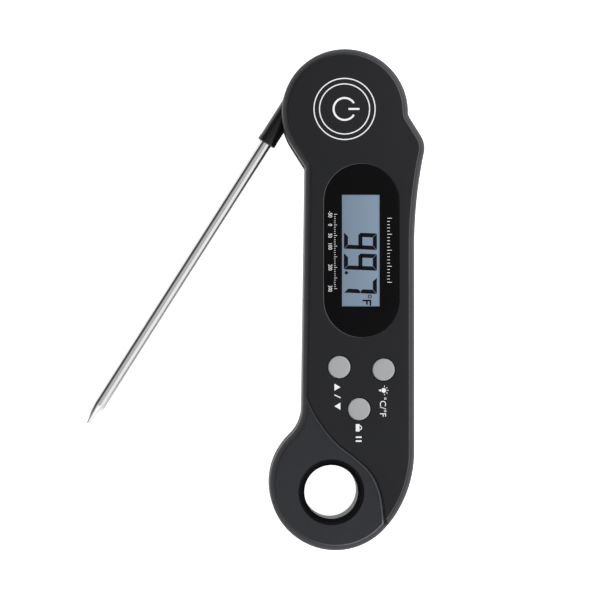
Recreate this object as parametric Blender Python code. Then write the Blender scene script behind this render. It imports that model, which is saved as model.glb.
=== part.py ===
"""Folding-probe digital meat thermometer.

The body lies on its flat back: +Z is the display side, +Y runs from the hanging ring to the round
head, and +X is to the right as the display is seen. The origin is on the back face, under the axis
on which the probe turns. Lengths are in metres; constants are written in millimetres times MM.
The head's radius drives the width of the body and the neck below it; places along the body are
given from NECK_Y.
"""
import math

import bmesh
import bpy
from mathutils import Matrix, Vector

MM = 0.001

# Overall body
BODY_THICKNESS = 18.0 * MM
PARTING_Z = 9.0 * MM
HEAD_RADIUS = 19.6 * MM
EDGE_BEVEL = 1.75 * MM
EDGE_BEVEL_DEPTH = 1.5 * MM
EDGE_BEVEL_MIDDLE = (0.35, 0.45)
BACK_BEVEL = 1.2 * MM
WALL = 2.2 * MM
FRONT_WALL = 2.4 * MM
BACK_WALL = 1.8 * MM
SEAM_GAP = 0.3 * MM
FIT = 0.3 * MM

# Rotating hub, collar and probe
HUB_CLEARANCE = 0.3 * MM
HUB_RADIUS = HEAD_RADIUS - 1.05 * MM
HUB_EDGE = 0.4 * MM
POCKET_GAP = 0.6 * MM
HUB_WALL = 2.8 * MM
TRUNNION_RADIUS = 5.0 * MM
TRUNNION_BORE = 3.4 * MM
TRUNNION_GAP = 2.4 * MM
PROBE_RADIUS = 1.92 * MM
PROBE_OFFSET = HUB_RADIUS - 2.95 * MM
PROBE_WALL = 0.42 * MM
PROBE_REACH = 124.5 * MM
PROBE_TAPER = 7.1 * MM
PROBE_TIP_RADIUS = 0.68 * MM
PROBE_ROOT = 4.5 * MM
THERMISTOR_LENGTH = 5.0 * MM
THERMISTOR_BACKSET = 1.0 * MM
COLLAR_WALL = 1.13 * MM
COLLAR_REACH = 21.1 * MM
REST_OPENING = 32.43
SLOT_CLEARANCE = 0.4 * MM
SLOT_END_CLEARANCE = 1.8 * MM
SEAL_SECTION = 0.7 * MM
HUB_MAGNET_RADIUS = 1.5 * MM
HUB_MAGNET_LENGTH = 4.0 * MM
COLLAR_RADIUS = PROBE_RADIUS + COLLAR_WALL
COLLAR_INSET = 0.25 * MM
HUB_THICKNESS = 2 * (COLLAR_RADIUS + COLLAR_INSET)
POCKET_RADIUS = HUB_RADIUS + POCKET_GAP
SLOT_INNER_X = -(PROBE_OFFSET - PROBE_RADIUS - FIT)
SLOT_HALF_HEIGHT = PROBE_RADIUS + SLOT_CLEARANCE
NECK_Y = -(POCKET_RADIUS + HUB_WALL)

# Side edges of the body
LEFT_X = SLOT_INNER_X + 1.08 * MM
NOTCH_STANDOFF = 1.545 * MM
LEFT_TOP = (LEFT_X, -math.sqrt((HEAD_RADIUS + NOTCH_STANDOFF) ** 2 - LEFT_X ** 2))
LEFT_LEAN = 0.8
RIGHT_X = HEAD_RADIUS + 1.9 * MM
RIGHT_FLARE_START_Y = NECK_Y - 20.05 * MM
SHOULDER_RADIUS = 7.0 * MM
SHOULDER_CENTRE = (RIGHT_X + 3.2 * MM - SHOULDER_RADIUS, -(HEAD_RADIUS / 2 + 1.27 * MM))
SHOULDER_SLOPE = 32.0
SHOULDER_FILLET = 3.0 * MM
NOTCH_FILLET = 1.5 * MM

# Hanging ring at the foot of the body
RING_RADIUS = 20.65 * MM
RING_CENTRE = (RIGHT_X - RING_RADIUS - 3.73 * MM, NECK_Y - 93.25 * MM)
RING_NECK_FILLET = 12.0 * MM
HEEL_RADIUS = RING_RADIUS + 15.35 * MM
RING_STEP = 0.8 * MM
HOLE_RADIUS = 8.3 * MM
HOLE_CENTRE = (SLOT_INNER_X + HOLE_RADIUS + 0.78 * MM, RING_CENTRE[1] - 2.5 * MM)
HOLE_CHAMFER = 1.9 * MM
HOLE_BACK_CHAMFER = 0.8 * MM
HOLE_WALL = 2.2 * MM
LOBE_TOP_Y = NECK_Y - 66.05 * MM

# Edge of the button panel, where the lower ring zone begins, in millimetres from the neck
PANEL_EDGE = [(-17.0, -55.05), (-12.9, -62.65), (-10.8, -68.25), (-7.4, -74.15), (-2.4, -80.25),
              (3.5, -84.95), (7.9, -89.05), (10.7, -94.15), (12.2, -101.05), (12.5, -105.95)]

# Display
LENS_X = 5.0 * MM
LENS_TOP_Y = NECK_Y + 5.85 * MM
LENS_FOOT_Y = NECK_Y - 47.85 * MM
LENS_HALF_WIDTH = 11.67 * MM
LENS_THICKNESS = 1.1 * MM
LENS_GAP = 0.25 * MM
WINDOW_LOW = (-1.1 * MM, NECK_Y - 38.35 * MM)
WINDOW_HIGH = (10.65 * MM, NECK_Y - 3.75 * MM)
LCD_MARGIN = 1.6 * MM
LCD_THICKNESS = 1.4 * MM
LCD_FRAME_WALL = 1.0 * MM
LED_SIZE = 1.6 * MM
GUIDE_THICKNESS = 1.3 * MM
ZEBRA_WIDTH = 1.8 * MM

# Circuit board and switches
BOARD_THICKNESS = 1.2 * MM
BOARD_TOP_Z = 11.4 * MM
BOARD_TOP_Y = NECK_Y - 7.55 * MM
BOARD_FOOT_Y = NECK_Y - 74.55 * MM
BOARD_EDGE_GAP = 0.6 * MM
CHIP_SIZE = 7.0 * MM
CHIP_INSET = 3.0 * MM
CHIP_HEIGHT = 1.2 * MM
REED_RADIUS = 0.9 * MM
REED_LENGTH = 8.0 * MM
REED_INSET = (2.2 * MM, 1.5 * MM)
SWITCH_SIZE = 6.0 * MM
SWITCH_HEIGHT = 1.7 * MM
PLUNGER_RADIUS = 1.7 * MM
PLUNGER_LENGTH = 1.4 * MM
BUTTON_RADIUS = 3.45 * MM
BUTTON_PROUD = 0.2 * MM
BUTTON_FLANGE = 0.9 * MM
BUTTON_FLANGE_HEIGHT = 0.7 * MM
BUTTON_TRAVEL = 0.4 * MM
BUTTON_EDGE = 0.3 * MM
PLUNGER_REST_GAP = 0.2 * MM
BUTTONS = {"max_min": (-1.9 * MM, NECK_Y - 57.05 * MM), "light": (11.8 * MM, NECK_Y - 57.85 * MM),
           "hold": (4.24 * MM, NECK_Y - 70.05 * MM)}

# Battery, its door and the back magnet
CELL_CENTRE = (4.1 * MM, NECK_Y - 34.05 * MM)
CELL_RADIUS = 10.0 * MM
CELL_HEIGHT = 3.2 * MM
CELL_EDGE = 0.25 * MM
CONTACT_STRIP = 0.3 * MM
CONTACT_HALF_WIDTH = 2.0 * MM
SPRING_BENDS = (-6.0 * MM, -1.0 * MM, 2.0 * MM, 6.0 * MM)
DOOR_RADIUS = 11.6 * MM
DOOR_TABS = 3
DOOR_TAB_REACH = 1.5 * MM
DOOR_TAB_HEIGHT = 0.8 * MM
DOOR_TAB_ANGLE = 24.0
DOOR_UNLOCK = 40.0
COIN_SLOT = (14.0 * MM, 1.8 * MM, 0.9 * MM)
DOOR_SEAL_SECTION = 0.35 * MM
DOOR_SEAL_SHOULDER = 0.05 * MM
DOOR_FLOOR = 1.7 * MM
MAGNET_CENTRE = (4.1 * MM, NECK_Y - 60.05 * MM)
MAGNET_RADIUS = 6.0 * MM
MAGNET_THICKNESS = 2.0 * MM

# Screws that hold the covers together
SCREW_PLACES = [(LEFT_X + 4.4 * MM, NECK_Y - 3.65 * MM), (RIGHT_X - 4.3 * MM, NECK_Y - 3.65 * MM),
                (LEFT_X + 3.9 * MM, NECK_Y - 75.25 * MM), (RIGHT_X - 5.3 * MM, NECK_Y - 81.05 * MM),
                (RIGHT_X - 10.9 * MM, NECK_Y - 99.55 * MM)]
SCREW_SHANK = 0.9 * MM
SCREW_HEAD = 1.9 * MM
SCREW_HEAD_HEIGHT = 1.2 * MM
SCREW_LENGTH = 11.0 * MM
SCREW_POINT = (0.4, 1.0 * MM)
BOSS_RADIUS = 2.6 * MM

LEAD_RADIUS = 0.5 * MM
LEAD_GROOVE_WIDTH = 4.0 * MM
LEAD_GROOVE_DEPTH = 2.2 * MM
LEAD_DROP = 1.0 * MM
LEAD_WAY_HALF_HEIGHT = 0.9 * MM
LEAD_WAY_TOP_Y = -1.1 * MM

# Levels worked out from the sizes above
HUB_LOW_Z = PARTING_Z - HUB_THICKNESS / 2
HUB_HIGH_Z = PARTING_Z + HUB_THICKNESS / 2
POCKET_LOW_Z = HUB_LOW_Z - HUB_CLEARANCE
POCKET_HIGH_Z = HUB_HIGH_Z + HUB_CLEARANCE
CEILING_Z = BODY_THICKNESS - FRONT_WALL
BOARD_LOW_Z = BOARD_TOP_Z - BOARD_THICKNESS
LCD_TOP_Z = CEILING_Z - FIT
LCD_LOW_Z = LCD_TOP_Z - LCD_THICKNESS
OVERCUT = 2.0 * MM
FAR = 40.0 * MM


def clear_scene():
    for old in list(bpy.data.objects):
        bpy.data.objects.remove(old, do_unlink=True)


def make_material(name, colour, roughness, metallic=0.0):
    material = bpy.data.materials.new(name)
    material.use_nodes = True
    shader = material.node_tree.nodes["Principled BSDF"]
    shader.inputs["Base Color"].default_value = (*colour, 1.0)
    shader.inputs["Roughness"].default_value = roughness
    shader.inputs["Metallic"].default_value = metallic
    return material


def finish_mesh(bm, name, material=None, parent=None):
    """Turns a bmesh into an object with outward faces, smooth where it is round."""
    bmesh.ops.recalc_face_normals(bm, faces=bm.faces)
    mesh = bpy.data.meshes.new(name)
    bm.to_mesh(mesh)
    bm.free()
    made = bpy.data.objects.new(name, mesh)
    bpy.context.collection.objects.link(made)
    mesh.shade_smooth()
    mesh.set_sharp_from_angle(angle=math.radians(35))
    made.parent = parent
    if material:
        mesh.materials.append(material)
    return made


def as_guide(made):
    made.hide_render = True
    made.display_type = "WIRE"
    return made


def boolean(target, other, operation):
    step = target.modifiers.new(operation.lower(), "BOOLEAN")
    step.operation = operation
    step.solver = "EXACT"
    step.object = as_guide(other)


def cut(target, *cutters):
    for cutter in cutters:
        boolean(target, cutter, "DIFFERENCE")


def join(target, *others):
    for other in others:
        boolean(target, other, "UNION")


def loft(sections):
    """Closed solid through rings of points, each section a list of (x, y) and a height."""
    bm = bmesh.new()
    rings = [[bm.verts.new((x, y, z)) for x, y in points] for points, z in sections]
    for lower, upper in zip(rings, rings[1:]):
        for index in range(len(lower)):
            after = (index + 1) % len(lower)
            bm.faces.new((lower[index], lower[after], upper[after], upper[index]))
    bm.faces.new(rings[0])
    bm.faces.new(rings[-1])
    return bm


def prism(points, low, high):
    return loft([(points, low), (points, high)])


def box(low, high):
    corners = [(low[0], low[1]), (high[0], low[1]), (high[0], high[1]), (low[0], high[1])]
    return prism(corners, low[2], high[2])


def arc(centre, radius, start, end, steps):
    """Points on an arc, both ends included, angles in degrees."""
    angles = [math.radians(start + (end - start) * step / steps) for step in range(steps + 1)]
    return [(centre[0] + radius * math.cos(a), centre[1] + radius * math.sin(a)) for a in angles]


def circle(centre, radius, steps=48):
    return arc(centre, radius, 0, 360, steps)[:-1]


def disc(centre, radius, low, high, steps=48):
    return prism(circle(centre, radius, steps), low, high)


def stadium(centre_x, top_y, foot_y, half_width, steps=20):
    """Upright shape with two round ends."""
    upper = arc((centre_x, top_y - half_width), half_width, 0, 180, steps)
    lower = arc((centre_x, foot_y + half_width), half_width, 180, 360, steps)
    return upper + lower


def turned(profile, steps=32):
    """Solid of revolution about Z from (radius, z) points; radius 0 closes an end."""
    bm = bmesh.new()
    rings = []
    for radius, z in profile:
        if radius == 0:
            rings.append([bm.verts.new((0, 0, z))])
        else:
            rings.append([bm.verts.new((x, y, z)) for x, y in circle((0, 0), radius, steps)])
    pairs = list(zip(rings, rings[1:]))
    if len(rings[0]) > 1:
        pairs.append((rings[-1], rings[0]))
    for lower, upper in pairs:
        for index in range(steps):
            after = (index + 1) % steps
            corners = [lower[index % len(lower)], lower[after % len(lower)],
                       upper[after % len(upper)], upper[index % len(upper)]]
            corners = list(dict.fromkeys(corners))
            if len(corners) > 2:
                bm.faces.new(corners)
    return bm


def rounded_rod(low, high, radius):
    """Half profile of a rod with rounded ends."""
    return [(0, low), (radius * 0.7, low + radius * 0.4), (radius, low + radius * 1.2),
            (radius, high - radius * 1.2), (radius * 0.7, high - radius * 0.4), (0, high)]


def torus(centre, radius, section, z, steps=40, sides=10):
    profile = [(radius + x, z + y) for x, y in circle((0, 0), section, sides)]
    bm = turned(profile, steps)
    bmesh.ops.translate(bm, verts=bm.verts, vec=(centre[0], centre[1], 0))
    return bm


def polar(angle):
    return Vector((math.cos(math.radians(angle)), math.sin(math.radians(angle))))


def heading(vector):
    return math.degrees(math.atan2(vector[1], vector[0]))


def slide_to_distance(start, direction, target, distance):
    """First point on the line from start along direction that lies a distance from the target."""
    offset = start - target
    along = offset.dot(direction)
    return start - direction * (along + math.sqrt(along * along - offset.length_squared + distance ** 2))


def body_arcs():
    """Arcs of the body's outline, anticlockwise: centre, radius, angles, side of the material.

    The side is 1 where the material is inside the arc and -1 where the arc is a hollow.
    """
    origin = Vector((0, 0))
    notch = Vector(LEFT_TOP)
    ring = Vector(RING_CENTRE)
    left_normal = polar(180 - LEFT_LEAN)
    left_down = polar(270 - LEFT_LEAN)
    tangent = heading(notch) + 360 - math.degrees(math.acos(HEAD_RADIUS / notch.length))
    head_normal = polar(tangent)
    # Notch fillet: tangent to the head's tangent line and to the left edge
    lines = Matrix((head_normal, left_normal))
    notch_centre = lines.inverted() @ Vector((HEAD_RADIUS + NOTCH_FILLET,
                                              left_normal.dot(notch) + NOTCH_FILLET))
    # Fillet from the left edge into the ring
    neck_start = notch + left_normal * RING_NECK_FILLET
    neck_reach = RING_RADIUS + RING_NECK_FILLET
    foot = neck_start + left_down * (ring - neck_start).dot(left_down)
    rise = math.sqrt(neck_reach ** 2 - (foot - ring).length_squared)
    neck_centre = foot - left_down * rise
    # Heel: large arc tangent to the ring and to the right edge
    heel_x = RIGHT_X - HEEL_RADIUS
    heel_rise = math.sqrt((HEEL_RADIUS - RING_RADIUS) ** 2 - (heel_x - ring.x) ** 2)
    heel_centre = Vector((heel_x, ring.y + heel_rise))
    heel_angle = heading(ring - heel_centre)
    # Flare up to the shoulder beside the head
    shoulder = Vector(SHOULDER_CENTRE)
    climb = shoulder.y - RIGHT_FLARE_START_Y
    inset = shoulder.x - RIGHT_X
    flare = (climb ** 2 + inset ** 2 - SHOULDER_RADIUS ** 2) / (2 * (SHOULDER_RADIUS + inset))
    flare_centre = Vector((RIGHT_X + flare, RIGHT_FLARE_START_Y))
    flare_angle = heading(shoulder - flare_centre)
    slope_normal = polar(SHOULDER_SLOPE)
    fillet_start = shoulder + slope_normal * (SHOULDER_RADIUS + SHOULDER_FILLET)
    join_centre = slide_to_distance(fillet_start, polar(SHOULDER_SLOPE + 90), origin,
                                    HEAD_RADIUS + SHOULDER_FILLET)
    join_angle = heading(join_centre)
    return [
        (origin, HEAD_RADIUS, join_angle, tangent, 1, 44),
        (notch_centre, NOTCH_FILLET, tangent - 180, -LEFT_LEAN, -1, 4),
        (neck_centre, RING_NECK_FILLET, -LEFT_LEAN, heading(ring - neck_centre), -1, 8),
        (ring, RING_RADIUS, heading(neck_centre - ring), 360 + heel_angle, 1, 34),
        (heel_centre, HEEL_RADIUS, heel_angle, 0, 1, 10),
        (flare_centre, flare, 180, flare_angle, -1, 8),
        (shoulder, SHOULDER_RADIUS, flare_angle - 180, SHOULDER_SLOPE, 1, 6),
        (join_centre, SHOULDER_FILLET, SHOULDER_SLOPE + 180, join_angle + 180, -1, 4),
    ]


def body_outline(inset=0.0):
    """The body's outline from above, moved inwards by an even inset."""
    points = []
    for centre, radius, start, end, side, steps in body_arcs():
        stretch = arc(centre, radius - side * inset, start, end, steps)
        if points and (Vector(stretch[0]) - Vector(points[-1])).length < 0.02 * MM:
            stretch = stretch[1:]
        points += stretch
    return points


def cavity_cutters(low, high):
    """The hollow shared by both covers, and what stays solid inside it."""
    hollow = finish_mesh(prism(body_outline(WALL), low, high), "cavity")
    head_block = finish_mesh(box((-FAR, NECK_Y, low - OVERCUT),
                                 (FAR, FAR, high + OVERCUT)), "cavity_head_block")
    lobe_block = finish_mesh(box((-FAR, RING_CENTRE[1] - FAR, low - OVERCUT),
                                 (SLOT_INNER_X + WALL, LOBE_TOP_Y, high + OVERCUT)),
                             "cavity_slot_block")
    cut(hollow, head_block, lobe_block)
    hole_wall = finish_mesh(disc(HOLE_CENTRE, HOLE_RADIUS + HOLE_WALL, low - OVERCUT,
                                 high + OVERCUT), "cavity_hole_wall")
    cut(hollow, hole_wall)
    for number, place in enumerate(SCREW_PLACES, 1):
        boss = disc(place, BOSS_RADIUS, low - OVERCUT, high + OVERCUT, 20)
        cut(hollow, finish_mesh(boss, f"cavity_boss_{number}"))
    return hollow


def hub_pocket():
    """The space between the covers' discs, open to the left for the swinging collar."""
    left = LEFT_TOP[0]
    low = -(COLLAR_REACH + FIT)
    start = 180 + math.degrees(math.acos(-left / POCKET_RADIUS))
    around = [(-FAR, low), (left, low)] + arc((0, 0), POCKET_RADIUS, start, 360, 30)
    around += [(FAR, 0), (FAR, FAR), (-FAR, FAR)]
    return finish_mesh(prism(around, POCKET_LOW_Z, POCKET_HIGH_Z), "hub_pocket")


def probe_slot():
    """Channel along the left side in which the folded probe lies."""
    end = -(PROBE_REACH + SLOT_END_CLEARANCE)
    return finish_mesh(box((-FAR, end, PARTING_Z - SLOT_HALF_HEIGHT),
                           (SLOT_INNER_X, LEFT_TOP[1], PARTING_Z + SLOT_HALF_HEIGHT)), "probe_slot")


def hanging_hole(thickness):
    """Through hole with a wide front chamfer and a small back one."""
    profile = [(HOLE_RADIUS + HOLE_BACK_CHAMFER + OVERCUT, -OVERCUT), (HOLE_RADIUS, HOLE_BACK_CHAMFER),
               (HOLE_RADIUS, thickness - HOLE_CHAMFER),
               (HOLE_RADIUS + HOLE_CHAMFER + OVERCUT, thickness + OVERCUT)]
    closed = [(0, -OVERCUT)] + profile + [(0, thickness + OVERCUT)]
    bm = turned(closed, 56)
    bmesh.ops.translate(bm, verts=bm.verts, vec=(*HOLE_CENTRE, 0))
    return finish_mesh(bm, "hanging_hole_cutter")


def ring_zone():
    """Everything beyond the panel's edge, above the lower face of the ring zone."""
    edge = [(x * MM, NECK_Y + y * MM) for x, y in PANEL_EDGE]
    foot = RING_CENTRE[1] - RING_RADIUS - OVERCUT
    around = edge + [(edge[-1][0], foot), (-FAR, foot), (-FAR, edge[0][1])]
    return finish_mesh(prism(around, BODY_THICKNESS - RING_STEP, BODY_THICKNESS + OVERCUT),
                       "ring_zone_cutter")


def front_cover(material):
    low = PARTING_Z + SEAM_GAP / 2
    shell = loft([(body_outline(), low), (body_outline(), BODY_THICKNESS - EDGE_BEVEL_DEPTH),
                  (body_outline(EDGE_BEVEL * EDGE_BEVEL_MIDDLE[0]),
                   BODY_THICKNESS - EDGE_BEVEL_DEPTH * EDGE_BEVEL_MIDDLE[1]),
                  (body_outline(EDGE_BEVEL), BODY_THICKNESS)])
    cover = finish_mesh(shell, "front_cover", material)
    cut(cover, cavity_cutters(low - OVERCUT, CEILING_Z), hub_pocket())
    trunnion = finish_mesh(disc((0, 0), TRUNNION_RADIUS, PARTING_Z + TRUNNION_GAP / 2,
                                POCKET_HIGH_Z + WALL / 2, 32), "front_trunnion")
    join(cover, trunnion)
    lens_seat = prism(stadium(LENS_X, LENS_TOP_Y + LENS_GAP, LENS_FOOT_Y - LENS_GAP,
                              LENS_HALF_WIDTH + LENS_GAP),
                      BODY_THICKNESS - LENS_THICKNESS - FIT, BODY_THICKNESS + OVERCUT)
    window = box((*WINDOW_LOW, CEILING_Z - OVERCUT / 2), (*WINDOW_HIGH, BODY_THICKNESS))
    cut(cover, ring_zone(), hanging_hole(BODY_THICKNESS), probe_slot(),
        finish_mesh(lens_seat, "lens_seat"), finish_mesh(window, "window_cutter"))
    for key, place in BUTTONS.items():
        hole = disc(place, BUTTON_RADIUS + FIT, CEILING_Z - OVERCUT / 2, BODY_THICKNESS + OVERCUT, 28)
        cut(cover, finish_mesh(hole, f"{key}_hole"))
    for number, place in enumerate(SCREW_PLACES, 1):
        pilot = disc(place, SCREW_SHANK + FIT, PARTING_Z - OVERCUT,
                     SCREW_HEAD_HEIGHT + SCREW_LENGTH + 2 * FIT, 12)
        cut(cover, finish_mesh(pilot, f"front_pilot_{number}"))
    return cover


def back_cover(material):
    high = PARTING_Z - SEAM_GAP / 2
    shell = loft([(body_outline(BACK_BEVEL), 0), (body_outline(), BACK_BEVEL), (body_outline(), high)])
    cover = finish_mesh(shell, "back_cover", material)
    hollow = cavity_cutters(BACK_WALL, high + OVERCUT)
    hollow.name = "back_cavity"
    magnet_cup = disc(MAGNET_CENTRE, MAGNET_RADIUS + FIT + WALL / 2, BACK_WALL - OVERCUT,
                      MAGNET_THICKNESS + 2 * FIT + WALL / 2, 32)
    cut(hollow, finish_mesh(magnet_cup, "magnet_cup"))
    cut(cover, hollow, hub_pocket())
    trunnion = finish_mesh(disc((0, 0), TRUNNION_RADIUS, POCKET_LOW_Z - WALL / 2,
                                PARTING_Z - TRUNNION_GAP / 2, 32), "back_trunnion")
    join(cover, trunnion)
    groove_floor = POCKET_LOW_Z - LEAD_GROOVE_DEPTH
    bore = disc((0, 0), TRUNNION_BORE, groove_floor, PARTING_Z + OVERCUT, 32)
    groove = box((-LEAD_GROOVE_WIDTH / 2, NECK_Y - OVERCUT, groove_floor + FIT),
                 (LEAD_GROOVE_WIDTH / 2, -TRUNNION_BORE / 2, POCKET_LOW_Z + FIT))
    magnet_seat = disc(MAGNET_CENTRE, MAGNET_RADIUS + FIT, -OVERCUT, MAGNET_THICKNESS + 2 * FIT, 40)
    cut(cover, hanging_hole(BODY_THICKNESS), probe_slot(), finish_mesh(bore, "back_trunnion_bore"),
        finish_mesh(magnet_seat, "magnet_seat"), finish_mesh(groove, "lead_groove"))
    door_hole = disc(CELL_CENTRE, DOOR_RADIUS + FIT, -OVERCUT, BACK_WALL + OVERCUT, 56)
    cut(cover, finish_mesh(door_hole, "door_hole"))
    for number in range(DOOR_TABS):
        notch = tab(DOOR_RADIUS - WALL, DOOR_RADIUS + DOOR_TAB_REACH + FIT, number, -OVERCUT,
                    BACK_WALL + OVERCUT, -DOOR_UNLOCK, DOOR_TAB_ANGLE + 4)
        cut(cover, finish_mesh(notch, f"door_notch_{number + 1}"))
    for number, place in enumerate(SCREW_PLACES, 1):
        seat = disc(place, SCREW_HEAD + FIT, -OVERCUT, SCREW_HEAD_HEIGHT + 2 * FIT, 20)
        shaft = disc(place, SCREW_SHANK + FIT, 0, PARTING_Z + OVERCUT, 12)
        cut(cover, finish_mesh(seat, f"screw_seat_{number}"), finish_mesh(shaft, f"screw_way_{number}"))
    return cover


def tab(inner, outer, number, low, high, turn=0.0, span=DOOR_TAB_ANGLE):
    """One sector-shaped bayonet tab about the coin cell's axis."""
    middle = 90 + number * 360 / DOOR_TABS + turn
    points = arc(CELL_CENTRE, outer, middle - span / 2, middle + span / 2, 6)
    points += arc(CELL_CENTRE, inner, middle + span / 2, middle - span / 2, 6)
    return prism(points, low, high)


def display_parts(paint):
    lens = prism(stadium(LENS_X, LENS_TOP_Y, LENS_FOOT_Y, LENS_HALF_WIDTH),
                 BODY_THICKNESS - LENS_THICKNESS, BODY_THICKNESS)
    finish_mesh(lens, "display_lens", paint["lens"])
    left = WINDOW_LOW[0] - LCD_MARGIN
    right = WINDOW_HIGH[0] + LCD_MARGIN
    foot = WINDOW_LOW[1] - LCD_MARGIN
    top = WINDOW_HIGH[1] + LCD_MARGIN
    finish_mesh(box((left, foot, LCD_LOW_Z), (right, top, LCD_TOP_Z)), "lcd_glass", paint["lcd"])
    low = BOARD_TOP_Z + FIT
    outer = FIT + LCD_FRAME_WALL
    frame = finish_mesh(box((left - outer, foot - outer, low), (right + outer, top + outer, LCD_TOP_Z)),
                        "lcd_frame", paint["white"])
    opening = box((left - FIT, foot - FIT, low - OVERCUT), (right + FIT, top + FIT, LCD_TOP_Z + OVERCUT))
    cut(frame, finish_mesh(opening, "lcd_frame_opening"))
    guide_high = LCD_LOW_Z - FIT
    led_foot = WINDOW_LOW[1] - LCD_MARGIN / 2
    guide = box((left, led_foot + LED_SIZE + FIT, guide_high - GUIDE_THICKNESS),
                (right - ZEBRA_WIDTH - FIT, WINDOW_HIGH[1] + LCD_MARGIN / 2, guide_high))
    finish_mesh(guide, "light_guide", paint["clear"])
    middle = (WINDOW_LOW[0] + WINDOW_HIGH[0]) / 2
    led = box((middle - LED_SIZE, led_foot, low),
              (middle + LED_SIZE, led_foot + LED_SIZE, guide_high - FIT))
    finish_mesh(led, "backlight_led", paint["white"])
    zebra = box((right - ZEBRA_WIDTH, WINDOW_LOW[1], low), (right, WINDOW_HIGH[1], guide_high))
    finish_mesh(zebra, "zebra_strip", paint["rubber"])


def board_parts(paint):
    left = LEFT_TOP[0] + WALL + BOARD_EDGE_GAP
    right = RIGHT_X - WALL - BOARD_EDGE_GAP
    boss = SCREW_PLACES[2]
    clear = BOSS_RADIUS + BOARD_EDGE_GAP
    outline = [(left, BOARD_TOP_Y), (left, boss[1] + clear), (boss[0] + clear, boss[1] + clear),
               (boss[0] + clear, BOARD_FOOT_Y), (right, BOARD_FOOT_Y), (right, BOARD_TOP_Y)]
    finish_mesh(prism(outline, BOARD_LOW_Z, BOARD_TOP_Z), "circuit_board", paint["board"])
    chip_low = BOARD_LOW_Z - FIT - CHIP_HEIGHT
    chip = box((0, BOARD_TOP_Y - CHIP_INSET - CHIP_SIZE, chip_low),
               (CHIP_SIZE, BOARD_TOP_Y - CHIP_INSET, chip_low + CHIP_HEIGHT))
    finish_mesh(chip, "controller_chip", paint["black"])
    reed = turned(rounded_rod(0, REED_LENGTH, REED_RADIUS), 16)
    bmesh.ops.rotate(reed, verts=reed.verts, matrix=Matrix.Rotation(math.radians(90), 3, "X"))
    bmesh.ops.translate(reed, verts=reed.verts, vec=(right - REED_INSET[0], BOARD_TOP_Y - REED_INSET[1],
                                                     BOARD_TOP_Z + FIT + REED_RADIUS))
    finish_mesh(reed, "reed_switch", paint["clear"])


def button_parts(paint):
    low = BOARD_TOP_Z + FIT
    bore_low = low + FIT
    plunger_low = bore_low + BUTTON_TRAVEL + PLUNGER_REST_GAP
    plunger_high = plunger_low + PLUNGER_LENGTH
    flange_high = CEILING_Z - FIT
    flange_low = flange_high - BUTTON_FLANGE_HEIGHT
    top = BODY_THICKNESS + BUTTON_PROUD
    for key, place in BUTTONS.items():
        half = SWITCH_SIZE / 2
        housing = finish_mesh(box((place[0] - half, place[1] - half, low),
                                  (place[0] + half, place[1] + half, low + SWITCH_HEIGHT)),
                              f"{key}_switch", paint["black"])
        bore = disc(place, PLUNGER_RADIUS + FIT, bore_low, low + SWITCH_HEIGHT + OVERCUT, 20)
        cut(housing, finish_mesh(bore, f"{key}_switch_bore"))
        travel = bpy.data.objects.new(f"{key}_travel", None)
        travel.location = (*place, plunger_low)
        bpy.context.collection.objects.link(travel)
        plunger = turned([(0, 0), (PLUNGER_RADIUS, 0), (PLUNGER_RADIUS, PLUNGER_LENGTH),
                          (0, PLUNGER_LENGTH)], 20)
        finish_mesh(plunger, f"{key}_plunger", paint["button"], travel)
        rise = plunger_low
        flange_radius = BUTTON_RADIUS + BUTTON_FLANGE
        cap = turned([(0, plunger_high + FIT - rise), (PLUNGER_RADIUS, plunger_high + FIT - rise),
                      (PLUNGER_RADIUS, flange_low - rise), (flange_radius, flange_low - rise),
                      (flange_radius, flange_high - rise),
                      (BUTTON_RADIUS, flange_high - rise), (BUTTON_RADIUS, top - BUTTON_EDGE - rise),
                      (BUTTON_RADIUS - BUTTON_EDGE, top - rise), (0, top - rise)], 32)
        finish_mesh(cap, f"{key}_button", paint["button"], travel)


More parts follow.
